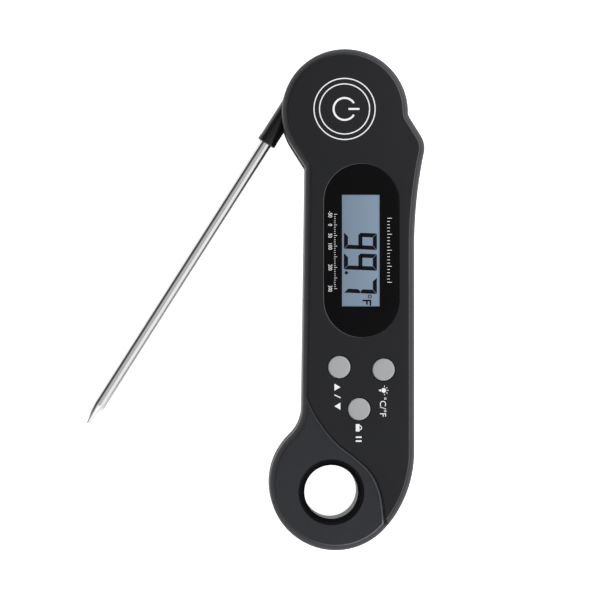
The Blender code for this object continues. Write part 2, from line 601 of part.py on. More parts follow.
def battery_parts(paint):
    turn = bpy.data.objects.new("door_turn", None)
    turn.location = (*CELL_CENTRE, 0)
    bpy.context.collection.objects.link(turn)
    seal_z = DOOR_FLOOR - DOOR_SEAL_SECTION - FIT - DOOR_SEAL_SHOULDER
    seal_radius = DOOR_RADIUS - DOOR_SEAL_SECTION
    groove = DOOR_SEAL_SECTION + FIT
    rim_high = BACK_WALL + FIT + DOOR_TAB_HEIGHT
    recess = CELL_RADIUS + FIT
    door = finish_mesh(turned([(0, 0), (DOOR_RADIUS, 0), (DOOR_RADIUS, seal_z - groove),
                               (seal_radius - groove, seal_z - groove),
                               (seal_radius - groove, seal_z + groove),
                               (DOOR_RADIUS, seal_z + groove), (DOOR_RADIUS, rim_high),
                               (recess, rim_high), (recess, DOOR_FLOOR), (0, DOOR_FLOOR)], 56),
                       "battery_door", paint["black"], turn)
    for number in range(DOOR_TABS):
        lug = finish_mesh(tab(recess + FIT, DOOR_RADIUS + DOOR_TAB_REACH, number,
                              BACK_WALL + FIT, rim_high), f"door_tab_{number + 1}")
        join(door, lug)
    slot = [size / 2 for size in COIN_SLOT]
    cut(door, finish_mesh(box((CELL_CENTRE[0] - slot[0], CELL_CENTRE[1] - slot[1], -OVERCUT),
                              (CELL_CENTRE[0] + slot[0], CELL_CENTRE[1] + slot[1], COIN_SLOT[2])),
                          "coin_slot"))
    finish_mesh(torus((0, 0), seal_radius, DOOR_SEAL_SECTION, seal_z), "door_seal", paint["rubber"], turn)
    cell_low = DOOR_FLOOR + FIT
    cell = turned([(0, cell_low), (CELL_RADIUS - CELL_EDGE, cell_low), (CELL_RADIUS, cell_low + CELL_EDGE),
                   (CELL_RADIUS, cell_low + CELL_HEIGHT - CELL_EDGE),
                   (CELL_RADIUS - CELL_EDGE, cell_low + CELL_HEIGHT), (0, cell_low + CELL_HEIGHT)], 48)
    bmesh.ops.translate(cell, verts=cell.verts, vec=(*CELL_CENTRE, 0))
    finish_mesh(cell, "coin_cell", paint["steel"])
    spring_low = cell_low + CELL_HEIGHT + FIT
    spring_high = BOARD_LOW_Z - FIT
    heights = (spring_low, spring_low, spring_high - CONTACT_STRIP, spring_high - CONTACT_STRIP)
    under = list(zip(SPRING_BENDS, heights))
    over = [(x, z + CONTACT_STRIP) for x, z in reversed(under)]
    spring = prism(under + over, -CONTACT_HALF_WIDTH, CONTACT_HALF_WIDTH)
    bmesh.ops.rotate(spring, verts=spring.verts, matrix=Matrix.Rotation(math.radians(90), 3, "X"))
    bmesh.ops.translate(spring, verts=spring.verts, vec=(*CELL_CENTRE, 0))
    finish_mesh(spring, "battery_spring_negative", paint["brass"])
    clip_y = CELL_CENTRE[1] + CELL_RADIUS + FIT
    clip = box((CELL_CENTRE[0] - CONTACT_HALF_WIDTH, clip_y, rim_high + FIT),
               (CELL_CENTRE[0] + CONTACT_HALF_WIDTH, clip_y + CONTACT_STRIP, spring_high))
    finish_mesh(clip, "battery_clip_positive", paint["brass"])
    magnet = disc(MAGNET_CENTRE, MAGNET_RADIUS, FIT, FIT + MAGNET_THICKNESS, 40)
    finish_mesh(magnet, "back_magnet", paint["steel"])


def screws(paint):
    head_low = FIT
    head_high = FIT + SCREW_HEAD_HEIGHT
    point = head_high + SCREW_LENGTH
    for number, place in enumerate(SCREW_PLACES, 1):
        screw = turned([(0, head_low), (SCREW_HEAD, head_low), (SCREW_HEAD, head_high),
                        (SCREW_SHANK, head_high), (SCREW_SHANK, point - SCREW_POINT[1]),
                        (SCREW_SHANK * SCREW_POINT[0], point), (0, point)], 14)
        bmesh.ops.translate(screw, verts=screw.verts, vec=(*place, 0))
        finish_mesh(screw, f"housing_screw_{number}", paint["steel"])


def lead(name, points, material, parent=None):
    """Round wire along a smooth route through the given points."""
    curve = bpy.data.curves.new(name, "CURVE")
    curve.dimensions = "3D"
    curve.bevel_depth = LEAD_RADIUS
    curve.bevel_resolution = 2
    curve.use_fill_caps = True
    spline = curve.splines.new("POLY")
    spline.points.add(len(points) - 1)
    for point, place in zip(spline.points, points):
        point.co = (*place, 1)
    made = bpy.data.objects.new(name, curve)
    curve.materials.append(material)
    made.parent = parent
    bpy.context.collection.objects.link(made)


def along_probe(bm):
    """Stands a shape turned about Z on the folded probe's axis, pointing away from the head."""
    bmesh.ops.rotate(bm, verts=bm.verts, matrix=Matrix.Rotation(math.radians(90), 3, "X"))
    bmesh.ops.translate(bm, verts=bm.verts, vec=(-PROBE_OFFSET, 0, PARTING_Z))
    return bm


def sensor_route(bead_start):
    """The probe's wire, from the thermistor up the tube and inwards to the pivot axis."""
    way = -PROBE_ROOT / 2
    start = -(bead_start - FIT)
    bend = [(0, start), (0, start / 2), (0, way * 4), (0, way * 2.3), (0.4, way * 1.6), (1.4, way * 1.2),
            (2.8, way)]
    route = [(x * MM - PROBE_OFFSET, y) for x, y in bend]
    route += [(-TRUNNION_RADIUS * 1.8, way), (-TRUNNION_RADIUS, way), (-TRUNNION_RADIUS / 2, way * 0.75),
              (-TRUNNION_RADIUS / 7, way * 0.31)]
    return [(x, y, PARTING_Z) for x, y in route]


def tail_route():
    """The body's wire, from the pivot axis down the trunnion's bore and along to the board."""
    groove = POCKET_LOW_Z - LEAD_DROP
    drop = [(0, PARTING_Z - 1.5 * MM), (0, PARTING_Z - 2.7 * MM), (-0.4 * MM, groove + 0.9 * MM),
            (-1.3 * MM, groove + 0.2 * MM), (-2.6 * MM, groove), (NECK_Y / 2, groove),
            (NECK_Y + MM, groove), (NECK_Y - 3 * MM, groove + 0.4 * MM), (NECK_Y - 6 * MM, groove + 1.6 * MM),
            (NECK_Y - 8 * MM, groove + 3.2 * MM)]
    return [(0, y, z) for y, z in drop]


def probe_hub(material, pivot):
    wheel = loft([(circle((0, 0), HUB_RADIUS - HUB_EDGE, 72), HUB_LOW_Z),
                  (circle((0, 0), HUB_RADIUS, 72), HUB_LOW_Z + HUB_EDGE),
                  (circle((0, 0), HUB_RADIUS, 72), HUB_HIGH_Z - HUB_EDGE),
                  (circle((0, 0), HUB_RADIUS - HUB_EDGE, 72), HUB_HIGH_Z)])
    hub = finish_mesh(wheel, "probe_hub", material, pivot)
    collar = turned([(0, 0), (COLLAR_RADIUS, 0), (COLLAR_RADIUS, COLLAR_REACH - HUB_EDGE),
                     (COLLAR_RADIUS - HUB_EDGE, COLLAR_REACH), (0, COLLAR_REACH)], 32)
    join(hub, finish_mesh(along_probe(collar), "collar", None, pivot))
    bore = disc((0, 0), TRUNNION_RADIUS + FIT, HUB_LOW_Z - OVERCUT, HUB_HIGH_Z + OVERCUT, 40)
    seat_radius = TRUNNION_RADIUS + 2 * FIT + 2 * SEAL_SECTION
    seat_depth = 2 * SEAL_SECTION + FIT
    low_seat = disc((0, 0), seat_radius, HUB_LOW_Z - OVERCUT, HUB_LOW_Z + seat_depth, 40)
    high_seat = disc((0, 0), seat_radius, HUB_HIGH_Z - seat_depth, HUB_HIGH_Z + OVERCUT, 40)
    socket_radius = PROBE_RADIUS + FIT
    socket = along_probe(turned([(0, PROBE_ROOT - FIT), (socket_radius, PROBE_ROOT - FIT),
                                 (socket_radius, COLLAR_REACH + OVERCUT),
                                 (0, COLLAR_REACH + OVERCUT)], 24))
    lead_way = box((-PROBE_OFFSET - LEAD_WAY_HALF_HEIGHT, -PROBE_ROOT - FIT,
                    PARTING_Z - LEAD_WAY_HALF_HEIGHT),
                   (0, LEAD_WAY_TOP_Y, PARTING_Z + LEAD_WAY_HALF_HEIGHT))
    place = (0, -(seat_radius + HUB_RADIUS) / 2)
    magnet_seat = disc(place, HUB_MAGNET_RADIUS + FIT, HUB_HIGH_Z - HUB_MAGNET_LENGTH - 2 * FIT,
                       HUB_HIGH_Z + OVERCUT, 20)
    for name, shape in (("hub_bore", bore), ("low_seal_seat", low_seat), ("high_seal_seat", high_seat),
                        ("probe_socket", socket), ("lead_way", lead_way),
                        ("hub_magnet_seat", magnet_seat)):
        cut(hub, finish_mesh(shape, name, None, pivot))
    return place


def probe_parts(paint):
    pivot = bpy.data.objects.new("probe_pivot", None)
    pivot.rotation_euler = (0, 0, math.radians(-REST_OPENING))
    bpy.context.collection.objects.link(pivot)
    place = probe_hub(paint["gloss_black"], pivot)
    magnet = disc(place, HUB_MAGNET_RADIUS, HUB_HIGH_Z - FIT - HUB_MAGNET_LENGTH, HUB_HIGH_Z - FIT, 20)
    finish_mesh(magnet, "hub_magnet", paint["steel"], pivot)
    inner = PROBE_RADIUS - PROBE_WALL
    taper = PROBE_REACH - PROBE_TAPER
    tip_round = PROBE_TIP_RADIUS * 0.5
    tube = turned([(PROBE_RADIUS, PROBE_ROOT), (PROBE_RADIUS, taper),
                   (PROBE_TIP_RADIUS, PROBE_REACH - tip_round),
                   (PROBE_TIP_RADIUS * 0.6, PROBE_REACH - tip_round * 0.25), (0, PROBE_REACH),
                   (0, taper + inner), (inner * 0.7, taper + inner * 0.5), (inner, taper),
                   (inner, PROBE_ROOT)], 28)
    finish_mesh(along_probe(tube), "probe_tube", paint["steel"], pivot)
    bead_end = taper - THERMISTOR_BACKSET
    bead_start = bead_end - THERMISTOR_LENGTH
    bead = turned(rounded_rod(bead_start, bead_end, inner - FIT), 16)
    finish_mesh(along_probe(bead), "thermistor", paint["glass_bead"], pivot)
    lead("sensor_lead", sensor_route(bead_start), paint["wire"], pivot)
    lead("lead_tail", tail_route(), paint["wire"])
    seal_radius = TRUNNION_RADIUS + FIT + SEAL_SECTION
    for name, z in (("hub_seal_back", POCKET_LOW_Z + FIT + SEAL_SECTION),
                    ("hub_seal_front", POCKET_HIGH_Z - FIT - SEAL_SECTION)):
        finish_mesh(torus((0, 0), seal_radius, SEAL_SECTION, z, 36, 8), name, paint["rubber"])


def main():
    clear_scene()
    paint = {
        "black": make_material("black_plastic", (0.022, 0.023, 0.026), 0.5),
        "gloss_black": make_material("gloss_black_plastic", (0.012, 0.012, 0.014), 0.2),
        "lens": make_material("tinted_lens", (0.01, 0.01, 0.012), 0.08),
        "lcd": make_material("lcd_grey", (0.23, 0.3, 0.41), 0.3),
        "white": make_material("white_plastic", (0.8, 0.8, 0.78), 0.45),
        "clear": make_material("clear_plastic", (0.75, 0.8, 0.82), 0.1),
        "button": make_material("grey_rubber_button", (0.41, 0.41, 0.42), 0.55),
        "rubber": make_material("black_rubber", (0.03, 0.03, 0.03), 0.7),
        "board": make_material("green_board", (0.02, 0.16, 0.06), 0.4),
        "steel": make_material("steel", (0.6, 0.6, 0.62), 0.25, 1.0),
        "brass": make_material("plated_brass", (0.75, 0.62, 0.35), 0.3, 1.0),
        "glass_bead": make_material("glass_bead", (0.3, 0.08, 0.04), 0.2),
        "wire": make_material("white_wire", (0.85, 0.85, 0.82), 0.5),
    }
    front_cover(paint["black"])
    back_cover(paint["black"])
    display_parts(paint)
    board_parts(paint)
    button_parts(paint)
    battery_parts(paint)
    screws(paint)
    probe_parts(paint)


main()
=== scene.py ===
import math

import bpy
from mathutils import Matrix, Vector


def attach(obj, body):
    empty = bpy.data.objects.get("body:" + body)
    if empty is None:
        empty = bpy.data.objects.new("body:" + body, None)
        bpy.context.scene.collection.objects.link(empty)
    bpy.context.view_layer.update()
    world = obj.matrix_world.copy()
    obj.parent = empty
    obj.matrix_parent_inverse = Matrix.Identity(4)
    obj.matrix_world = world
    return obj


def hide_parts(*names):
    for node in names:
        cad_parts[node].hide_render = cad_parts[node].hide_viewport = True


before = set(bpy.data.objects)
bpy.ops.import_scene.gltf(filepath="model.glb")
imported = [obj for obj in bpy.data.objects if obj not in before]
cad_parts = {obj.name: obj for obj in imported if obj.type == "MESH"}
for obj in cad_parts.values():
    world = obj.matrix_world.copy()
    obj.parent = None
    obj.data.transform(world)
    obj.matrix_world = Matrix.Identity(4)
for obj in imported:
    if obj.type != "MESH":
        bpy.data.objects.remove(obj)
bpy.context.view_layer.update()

# Driving sizes, as the model has them, in metres
MM = 0.001
THICKNESS = 18.0 * MM
SEAM_LOW = 8.85 * MM
SEAM_HIGH = 9.15 * MM
HEAD_RADIUS = 19.6 * MM
NOTCH = Vector((-12.3, -17.2)) * MM
NOTCH_FILLET = 1.5 * MM
LEFT_LEAN = 0.8
RIGHT_X = 21.5 * MM
FLARE_Y = -42.0 * MM
SHOULDER = Vector((17.7, -11.07)) * MM
SHOULDER_RADIUS = 7.0 * MM
SHOULDER_SLOPE = 32.0
SHOULDER_FILLET = 3.0 * MM
RING = Vector((-2.88, -115.2)) * MM
RING_RADIUS = 20.65 * MM
NECK_FILLET = 12.0 * MM
HEEL_RADIUS = 36.0 * MM
RIM_WIDTH = 1.75 * MM
RIM_TOP_SOFT = 0.3 * MM
RIM_FOOT_SOFT = 0.75 * MM
SEAM_SOFT = 0.18 * MM
BACK_ROUND = 1.2 * MM
WALL = 2.2 * MM
CEILING = 15.6 * MM
FLOOR = 1.8 * MM
PANEL_UNDER = 14 * MM
NECK_Y = -21.95 * MM
LOBE_CORNER = (-11.18 * MM, -88 * MM)
HOLE = Vector((-4.3, -117.7)) * MM
HOLE_RADIUS = 8.3 * MM
HOLE_ROUND = 1.9 * MM
RING_DROP = 0.8 * MM
REGION_LEVELS = (13 * MM, 21 * MM)
LENS_X = 5.0 * MM
LENS_TOP = -16.1 * MM
LENS_FOOT = -69.8 * MM
LENS_HALF = 11.67 * MM
LENS_GROW = -0.15 * MM
LENS_EDGE = 0.16 * MM
SEAT_GROW = -0.05 * MM
SEAT_FLOOR = 16.6 * MM
SEAT_FLARE = 0.2 * MM
SEAT_FLARE_LEVELS = (THICKNESS - 0.14 * MM, THICKNESS + 0.02 * MM)
SEAT_FLARE_SHRINK = (0.975, 0.99, 1)
WINDOW = ((-1.1 * MM, -60.3 * MM), (10.65 * MM, -25.7 * MM))
BUTTONS = {"max_min": (-1.9 * MM, -79.0 * MM), "light": (11.8 * MM, -79.8 * MM),
           "hold": (4.24 * MM, -92.0 * MM)}
BUTTON_RADIUS = 3.45 * MM
BUTTON_TOP = THICKNESS + 0.2 * MM
BUTTON_HOLE = BUTTON_RADIUS + 0.22 * MM
GAP = 0.3 * MM
HUB_RADIUS = 18.55 * MM
HUB_LOW = 5.7 * MM
HUB_HIGH = 12.3 * MM
POCKET_RADIUS = 19.15 * MM
TRUNNION = 5.0 * MM
FRONT_TRUNNION = (10.2 * MM, 13.6 * MM)
BACK_TRUNNION = (4.3 * MM, 7.8 * MM)
LEAD_BORE = 3.4 * MM
SEAL_WIDTH = 2 * MM
SEAL_DEPTH = 1.7 * MM
PROBE_X = -15.6 * MM
PROBE_RADIUS = 1.92 * MM
PROBE_REACH = 124.5 * MM
PROBE_TAPER = 7.1 * MM
PROBE_WALL = 0.42 * MM
PROBE_ROOT = 4.5 * MM
SLOT_X = -13.38 * MM
SLOT_END = -126.3 * MM
SLOT_HALF = 2.32 * MM
SLOT_ROUND = 1.2 * MM
COLLAR_RADIUS = 3.05 * MM
COLLAR_REACH = 21.1 * MM
OPENING = 32.43
AXIS_Z = 9.0 * MM
CELL = (4.1 * MM, -56.0 * MM)
DOOR_RADIUS = 11.6 * MM
DOOR_SEAL_RADIUS = 10.6 * MM
DOOR_SKIRT_RADIUS = 10.3 * MM
DOOR_HEIGHT = 2.9 * MM
DOOR_WEB = 1.7 * MM
TAB_STEP = 120
TAB_COUNT = 3
MAGNET = (4.1 * MM, -82.0 * MM)
MAGNET_RADIUS = 6.0 * MM
BOSS_RADIUS = 2.6 * MM
PILOT_RADIUS = 1.2 * MM
PILOT_TOP = 12.8 * MM
SCREW_HEAD = 1.9 * MM
SCREW_SHANK = 0.9 * MM
SCREW_END = 12.5 * MM
SCREWS = [(-7.9 * MM, -25.6 * MM), (17.2 * MM, -25.6 * MM), (-8.4 * MM, -97.2 * MM),
          (16.2 * MM, -103.0 * MM), (10.6 * MM, -121.5 * MM)]
INK = (THICKNESS - 0.01 * MM, THICKNESS + 0.02 * MM)
# Scale by the display: the middle of its first figure, and the length of one degree
SCALE_START = 31.8 * MM
SCALE_STEP = 0.0656 * MM
SCALE_FIGURES = (-50, 0, 50, 100, 200, 300)
# Bars that each figure of the display lights
DIGIT = {"7": "abc", "9": "abcdfg"}
READING = (("9", -37.3 * MM), ("9", -43.7 * MM), ("7", -50.9 * MM))
# Edge of the button panel in millimetres, and the section of the groove along it: across, height
PANEL_EDGE = [(-17.0, -77.0), (-12.9, -84.6), (-10.8, -90.2), (-7.4, -96.1), (-2.4, -102.2),
              (3.5, -106.9), (7.9, -111.0), (10.7, -116.1), (12.2, -123.0), (12.5, -138.0)]
GROOVE_SECTION = [(-0.31, 1.03), (-0.31, 0.79), (-0.04, 0.62), (-0.04, -0.5), (0.3, -0.5), (0.36, -0.16),
                  (0.74, 0.07), (0.74, 1.03)]
GROOVE_WIDENING = 0.9
REGION_CORNERS = ((-60, -138), (-60, -77))
# Tones against the panel's own: lower zone, then the painted shade on edges that turn to the left and the
# painted highlight on edges that turn to the right; then how steep an edge is that gets them
RING_TONE = 2.5
EDGE_HIGHLIGHT_AND_SHADE = (0.8, 6.0)
EDGE_HIGHLIGHT_SLOPES = [(0.0, 0.0), (0.79, 0.0), (0.83, 1.0), (0.95, 1.0), (0.99, 0.0), (1.0, 0.0)]
# Painted reflections across the probe, with painted shade at its sides: place across, tone
STEEL_PAINTED_REFLECTIONS = [(0.0, 0.25), (0.06, 0.5), (0.12, 0.75), (0.17, 0.25), (0.25, 0.25), (0.32, 1.0),
                 (0.46, 1.0), (0.52, 0.72), (0.58, 1.0), (0.76, 0.95), (0.88, 0.5), (1.0, 0.2)]
SKY_BANDS = [(0.0, 1.0), (0.25, 0.95), (0.42, 0.6), (0.7, 0.55), (0.86, 0.12), (0.96, 0.2), (1.0, 0.6)]
SKY_STRENGTH = 1.05
FLOOR_GLOW = 1.0
VIEW_SCALE = 3.205 / MM
# Beyond the object, and the same place
FAR = 60 * MM
NEAR = 1e-6


# ---------------------------------------------------------------- hand tools

def clear_selection():
    if bpy.context.object and bpy.context.object.mode != "OBJECT":
        bpy.ops.object.mode_set(mode="OBJECT")
    bpy.ops.object.select_all(action="DESELECT")


def take(piece):
    clear_selection()
    piece.select_set(True)
    bpy.context.view_layer.objects.active = piece


def edit(piece, select="SELECT"):
    take(piece)
    bpy.ops.object.mode_set(mode="EDIT")
    bpy.ops.mesh.select_mode(type="VERT")
    bpy.ops.mesh.select_all(action=select)


def leave():
    bpy.ops.object.mode_set(mode="OBJECT")


def place_into_mesh(piece):
    take(piece)
    bpy.ops.object.transform_apply(location=True, rotation=True, scale=True)
    return piece


def named(name):
    piece = bpy.context.object
    piece.name = name
    piece.data.name = name
    return place_into_mesh(piece)


def cylinder(name, centre, radius, low, high, sides=64):
    clear_selection()
    bpy.ops.mesh.primitive_cylinder_add(vertices=sides, radius=radius, depth=high - low,
                                        location=(centre[0], centre[1], (low + high) / 2))
    return named(name)


def block(name, low, high):
    clear_selection()
    middle = [(a + b) / 2 for a, b in zip(low, high)]
    bpy.ops.mesh.primitive_cube_add(size=1, location=middle)
    bpy.context.object.scale = [b - a for a, b in zip(low, high)]
    return named(name)


def pick(piece, mode, chosen):
    """Selects faces, edges or vertices whose middle passes the test, and enters edit mode."""
    edit(piece, "DESELECT")
    bpy.ops.mesh.select_mode(type=mode)
    leave()
    mesh = piece.data
    if mode == "FACE":
        for face in mesh.polygons:
            face.select = chosen(face.center, face.normal)
    elif mode == "EDGE":
        for edge in mesh.edges:
            ends = [mesh.vertices[index].co for index in edge.vertices]
            edge.select = chosen(*ends)
    else:
        for vertex in mesh.vertices:
            vertex.select = chosen(vertex.co)
    bpy.ops.object.mode_set(mode="EDIT")


def bevel_edges(piece, chosen, width, segments=3, profile=0.5):
    pick(piece, "EDGE", chosen)
    bpy.ops.mesh.bevel(offset=width, segments=segments, profile=profile, clamp_overlap=True)
    leave()
    return piece


def level(z):
    """Test for edges that lie at a height."""
    return lambda a, b: abs(a.z - z) < NEAR and abs(b.z - z) < NEAR


def carve(target, tool, operation="DIFFERENCE", keep=False):
    step = target.modifiers.new(operation, "BOOLEAN")
    step.operation = operation
    step.solver = "EXACT"
    step.object = tool
    take(target)
    bpy.ops.object.modifier_apply(modifier=step.name)
    if not keep:
        bpy.data.objects.remove(tool, do_unlink=True)
    return target


def smooth(piece, angle=32):
    take(piece)
    bpy.ops.object.shade_smooth_by_angle(angle=math.radians(angle))
    return piece


def outward(piece):
    edit(piece)
    bpy.ops.mesh.remove_doubles(threshold=NEAR)
    bpy.ops.mesh.normals_make_consistent(inside=False)
    leave()
    return piece


def close_slits(piece):
    """Closes three-sided gaps of no width that a cut can leave along an edge."""
    edit(piece)
    bpy.ops.mesh.fill_holes(sides=3)
    leave()
    return piece


def turn_on_z(piece, degrees, about=(0, 0, 0)):
    piece.data.transform(Matrix.Translation(about) @ Matrix.Rotation(math.radians(degrees), 4, "Z")
                         @ Matrix.Translation([-value for value in about]))
    return piece


def single_vertex(name, place):
    clear_selection()
    bpy.ops.mesh.primitive_plane_add(size=MM, location=place)
    piece = named(name)
    edit(piece)
    bpy.ops.mesh.merge(type="CENTER")
    return piece


def step_to(place):
    """Extrudes the one selected vertex to a place."""
    piece = bpy.context.object
    piece.update_from_editmode()
    here = next(v.co.copy() for v in piece.data.vertices if v.select)
    move = Vector(place) - here
    if move.length > NEAR:
        bpy.ops.mesh.extrude_vertices_move(TRANSFORM_OT_translate={"value": move})


def sweep(centre, degrees, steps, axis=(0, 0, 1)):
    """Spins the selected vertex about a centre, anticlockwise about the axis."""
    bpy.ops.mesh.spin(steps=steps, dupli=False, angle=-math.radians(degrees), center=centre, axis=axis)


def close_loop():
    bpy.ops.mesh.select_all(action="SELECT")
    bpy.ops.mesh.remove_doubles(threshold=2e-6)
    bpy.ops.mesh.edge_face_add()


def raise_face(depth):
    bpy.ops.mesh.extrude_region_move(TRANSFORM_OT_translate={"value": (0, 0, depth)})
    bpy.ops.mesh.select_all(action="SELECT")
    bpy.ops.mesh.normals_make_consistent(inside=False)
    leave()


def spun(name, profile, place, sides=64, axis=(0, 0, 1)):
    """Turned piece: the profile of (radius, height) points starts and ends on the axis."""
    piece = single_vertex(name, (profile[0][0], 0, profile[0][1]))
    for radius, height in profile[1:]:
        step_to((radius, 0, height))
    bpy.ops.mesh.select_all(action="SELECT")
    bpy.ops.mesh.spin(steps=sides, angle=2 * math.pi, center=(0, 0, 0), axis=(0, 0, 1))
    leave()
    outward(piece)
    if axis != (0, 0, 1):
        piece.data.transform(Vector((0, 0, 1)).rotation_difference(Vector(axis)).to_matrix().to_4x4())
    piece.data.transform(Matrix.Translation(place))
    return piece


def quarter(radius, height, size, start, steps=6):
    """Points of a quarter round for a turned profile: centre (radius, height), start in degrees."""
    turns = [math.radians(start + 90 * step / steps) for step in range(steps + 1)]
    return [(radius + size * math.cos(turn), height + size * math.sin(turn)) for turn in turns]


# ---------------------------------------------------------------- outline of the body

def polar(degrees):
    return Vector((math.cos(math.radians(degrees)), math.sin(math.radians(degrees))))


def heading(vector):
    return math.degrees(math.atan2(vector.y, vector.x))


def outline_arcs():
    """Arcs of the body's outline, anticlockwise: centre, radius, angles, 1 or -1 if hollow, steps."""
    left_normal = polar(180 - LEFT_LEAN)
    left_down = polar(270 - LEFT_LEAN)
    tangent = heading(NOTCH) + 360 - math.degrees(math.acos(HEAD_RADIUS / NOTCH.length))
    notch = Matrix((polar(tangent), left_normal)).inverted() @ Vector(
        (HEAD_RADIUS + NOTCH_FILLET, left_normal.dot(NOTCH) + NOTCH_FILLET))
    start = NOTCH + left_normal * NECK_FILLET
    foot = start + left_down * (RING - start).dot(left_down)
    rise = math.sqrt((RING_RADIUS + NECK_FILLET) ** 2 - (foot - RING).length_squared)
    neck = foot - left_down * rise
    heel_x = RIGHT_X - HEEL_RADIUS
    heel = Vector((heel_x, RING.y + math.sqrt((HEEL_RADIUS - RING_RADIUS) ** 2 - (heel_x - RING.x) ** 2)))
    heel_angle = heading(RING - heel)
    climb = SHOULDER.y - FLARE_Y
    step_in = SHOULDER.x - RIGHT_X
    flare_radius = (climb ** 2 + step_in ** 2 - SHOULDER_RADIUS ** 2) / (2 * (SHOULDER_RADIUS + step_in))
    flare = Vector((RIGHT_X + flare_radius, FLARE_Y))
    flare_angle = heading(SHOULDER - flare)
    near = SHOULDER + polar(SHOULDER_SLOPE) * (SHOULDER_RADIUS + SHOULDER_FILLET)
    up = polar(SHOULDER_SLOPE + 90)
    along = near.dot(up)
    reach = HEAD_RADIUS + SHOULDER_FILLET
    shoulder_joint = near - up * (along + math.sqrt(along ** 2 - near.length_squared + reach ** 2))
    joint_angle = heading(shoulder_joint)
    return [
        (Vector((0, 0)), HEAD_RADIUS, joint_angle, tangent, 1, 60),
        (notch, NOTCH_FILLET, tangent - 180, -LEFT_LEAN, -1, 5),
        (neck, NECK_FILLET, -LEFT_LEAN, heading(RING - neck), -1, 12),
        (RING, RING_RADIUS, heading(neck - RING), 360 + heel_angle, 1, 54),
        (heel, HEEL_RADIUS, heel_angle, 0, 1, 14),
        (flare, flare_radius, 180, flare_angle, -1, 10),
        (SHOULDER, SHOULDER_RADIUS, flare_angle - 180, SHOULDER_SLOPE, 1, 7),
        (shoulder_joint, SHOULDER_FILLET, SHOULDER_SLOPE + 180, joint_angle + 180, -1, 5),
    ]


def body_blank(name, inset, low, high):
    """The body's outline, traced with spins and straight steps, and raised."""
    piece = None
    for centre, radius, start, end, side, steps in outline_arcs():
        reach = radius - side * inset
        first = centre + polar(start) * reach
        if piece is None:
            piece = single_vertex(name, (first.x, first.y, low))
        else:
            step_to((first.x, first.y, low))
        sweep((centre.x, centre.y, low), end - start, steps)
    close_loop()
    raise_face(high - low)
    return piece


def stadium_blank(name, grow, low, high):
    half = LENS_HALF + grow
    upper = (LENS_X, LENS_TOP - LENS_HALF, low)
    lower = (LENS_X, LENS_FOOT + LENS_HALF, low)
    piece = single_vertex(name, (upper[0] + half, upper[1], low))
    sweep(upper, 180, 40)
    step_to((LENS_X - half, lower[1], low))
    sweep(lower, 180, 40)
    close_loop()
    raise_face(high - low)
    return piece


def edge_spline(name):
    """Smooth flat curve along the edge of the button panel."""
    data = bpy.data.curves.new(name, "CURVE")
    data.resolution_u = 8
    spline = data.splines.new("BEZIER")
    spline.bezier_points.add(len(PANEL_EDGE) - 1)
    for knot, place in zip(spline.bezier_points, PANEL_EDGE):
        knot.co = (place[0] * MM, place[1] * MM, 0)
        knot.handle_left_type = knot.handle_right_type = "AUTO"
    return data


def curve_solid(data, name, lift):
    piece = bpy.data.objects.new(name, data)
    bpy.context.collection.objects.link(piece)
    piece.location.z = lift
    take(piece)
    bpy.ops.object.convert(target="MESH")
    return outward(place_into_mesh(bpy.context.object))


def ring_region(low, high):
    """Everything beyond the panel's edge, between two levels."""
    data = edge_spline("ring_region")
    data.dimensions = "2D"
    spline = data.splines[0]
    spline.bezier_points.add(2)
    for knot, place in zip(spline.bezier_points[-2:], REGION_CORNERS):
        knot.co = (place[0] * MM, place[1] * MM, 0)
        knot.handle_left_type = knot.handle_right_type = "VECTOR"
    spline.use_cyclic_u = True
    data.fill_mode = "BOTH"
    data.extrude = (high - low) / 2
    return curve_solid(data, "ring_region", (low + high) / 2)


def panel_groove():
    """Tool for the groove at the panel's foot: steep on the panel's side, sloped on the ring's side."""
    section = bpy.data.curves.new("groove_section", "CURVE")
    section.dimensions = "2D"
    line = section.splines.new("POLY")
    line.points.add(len(GROOVE_SECTION) - 1)
    for point, (across, height) in zip(line.points, GROOVE_SECTION):
        point.co = (across * MM, height * MM, 0, 1)
    line.use_cyclic_u = True
    shape = bpy.data.objects.new("groove_section", section)
    bpy.context.collection.objects.link(shape)
    data = edge_spline("panel_groove")
    data.dimensions = "3D"
    data.twist_mode = "Z_UP"
    data.bevel_mode = "OBJECT"
    data.bevel_object = shape
    data.use_fill_caps = True
    knots = data.splines[0].bezier_points
    for index, knot in enumerate(knots):
        knot.radius = 1 + GROOVE_WIDENING * index / (len(knots) - 1)
    tool = curve_solid(data, "panel_groove", THICKNESS - RING_DROP)
    bpy.data.objects.remove(shape, do_unlink=True)
    return tool


# ---------------------------------------------------------------- covers

def cover_hollow(low, high):
    """Space inside both covers, with the walls and screw bosses left standing."""
    hollow = body_blank("hollow", WALL, low, high)
    slack = 2 * MM
    carve(hollow, block("head", (-FAR, NECK_Y, low - slack), (FAR, FAR, high + slack)))
    carve(hollow, block("lobe", (-FAR, RING.y - FAR, low - slack), (*LOBE_CORNER, high + slack)))
    carve(hollow, cylinder("hole_wall", HOLE, HOLE_RADIUS + WALL, low - slack, high + slack, 72))
    for place in SCREWS:
        carve(hollow, cylinder("boss", place, BOSS_RADIUS, low - slack, high + slack, 28))
    return hollow


def cut_hub_pocket(cover):
    low, high = HUB_LOW - GAP, HUB_HIGH + GAP
    carve(cover, cylinder("pocket", (0, 0), POCKET_RADIUS, low, high, 120))
    carve(cover, block("collar_way", (-FAR, -(COLLAR_REACH + GAP), low), (NOTCH.x, FAR, high)))
    carve(cover, block("over_hub", (-FAR, 0, low), (FAR, FAR, high)))
    slot = block("probe_slot", (-FAR, SLOT_END, AXIS_Z - SLOT_HALF), (SLOT_X, NOTCH.y, AXIS_Z + SLOT_HALF))
    bevel_edges(slot, lambda a, b: abs(a.x - SLOT_X) < NEAR and abs(b.x - SLOT_X) < NEAR
                or max(a.y, b.y) < SLOT_END + MM, SLOT_ROUND, 5)
    carve(cover, slot)


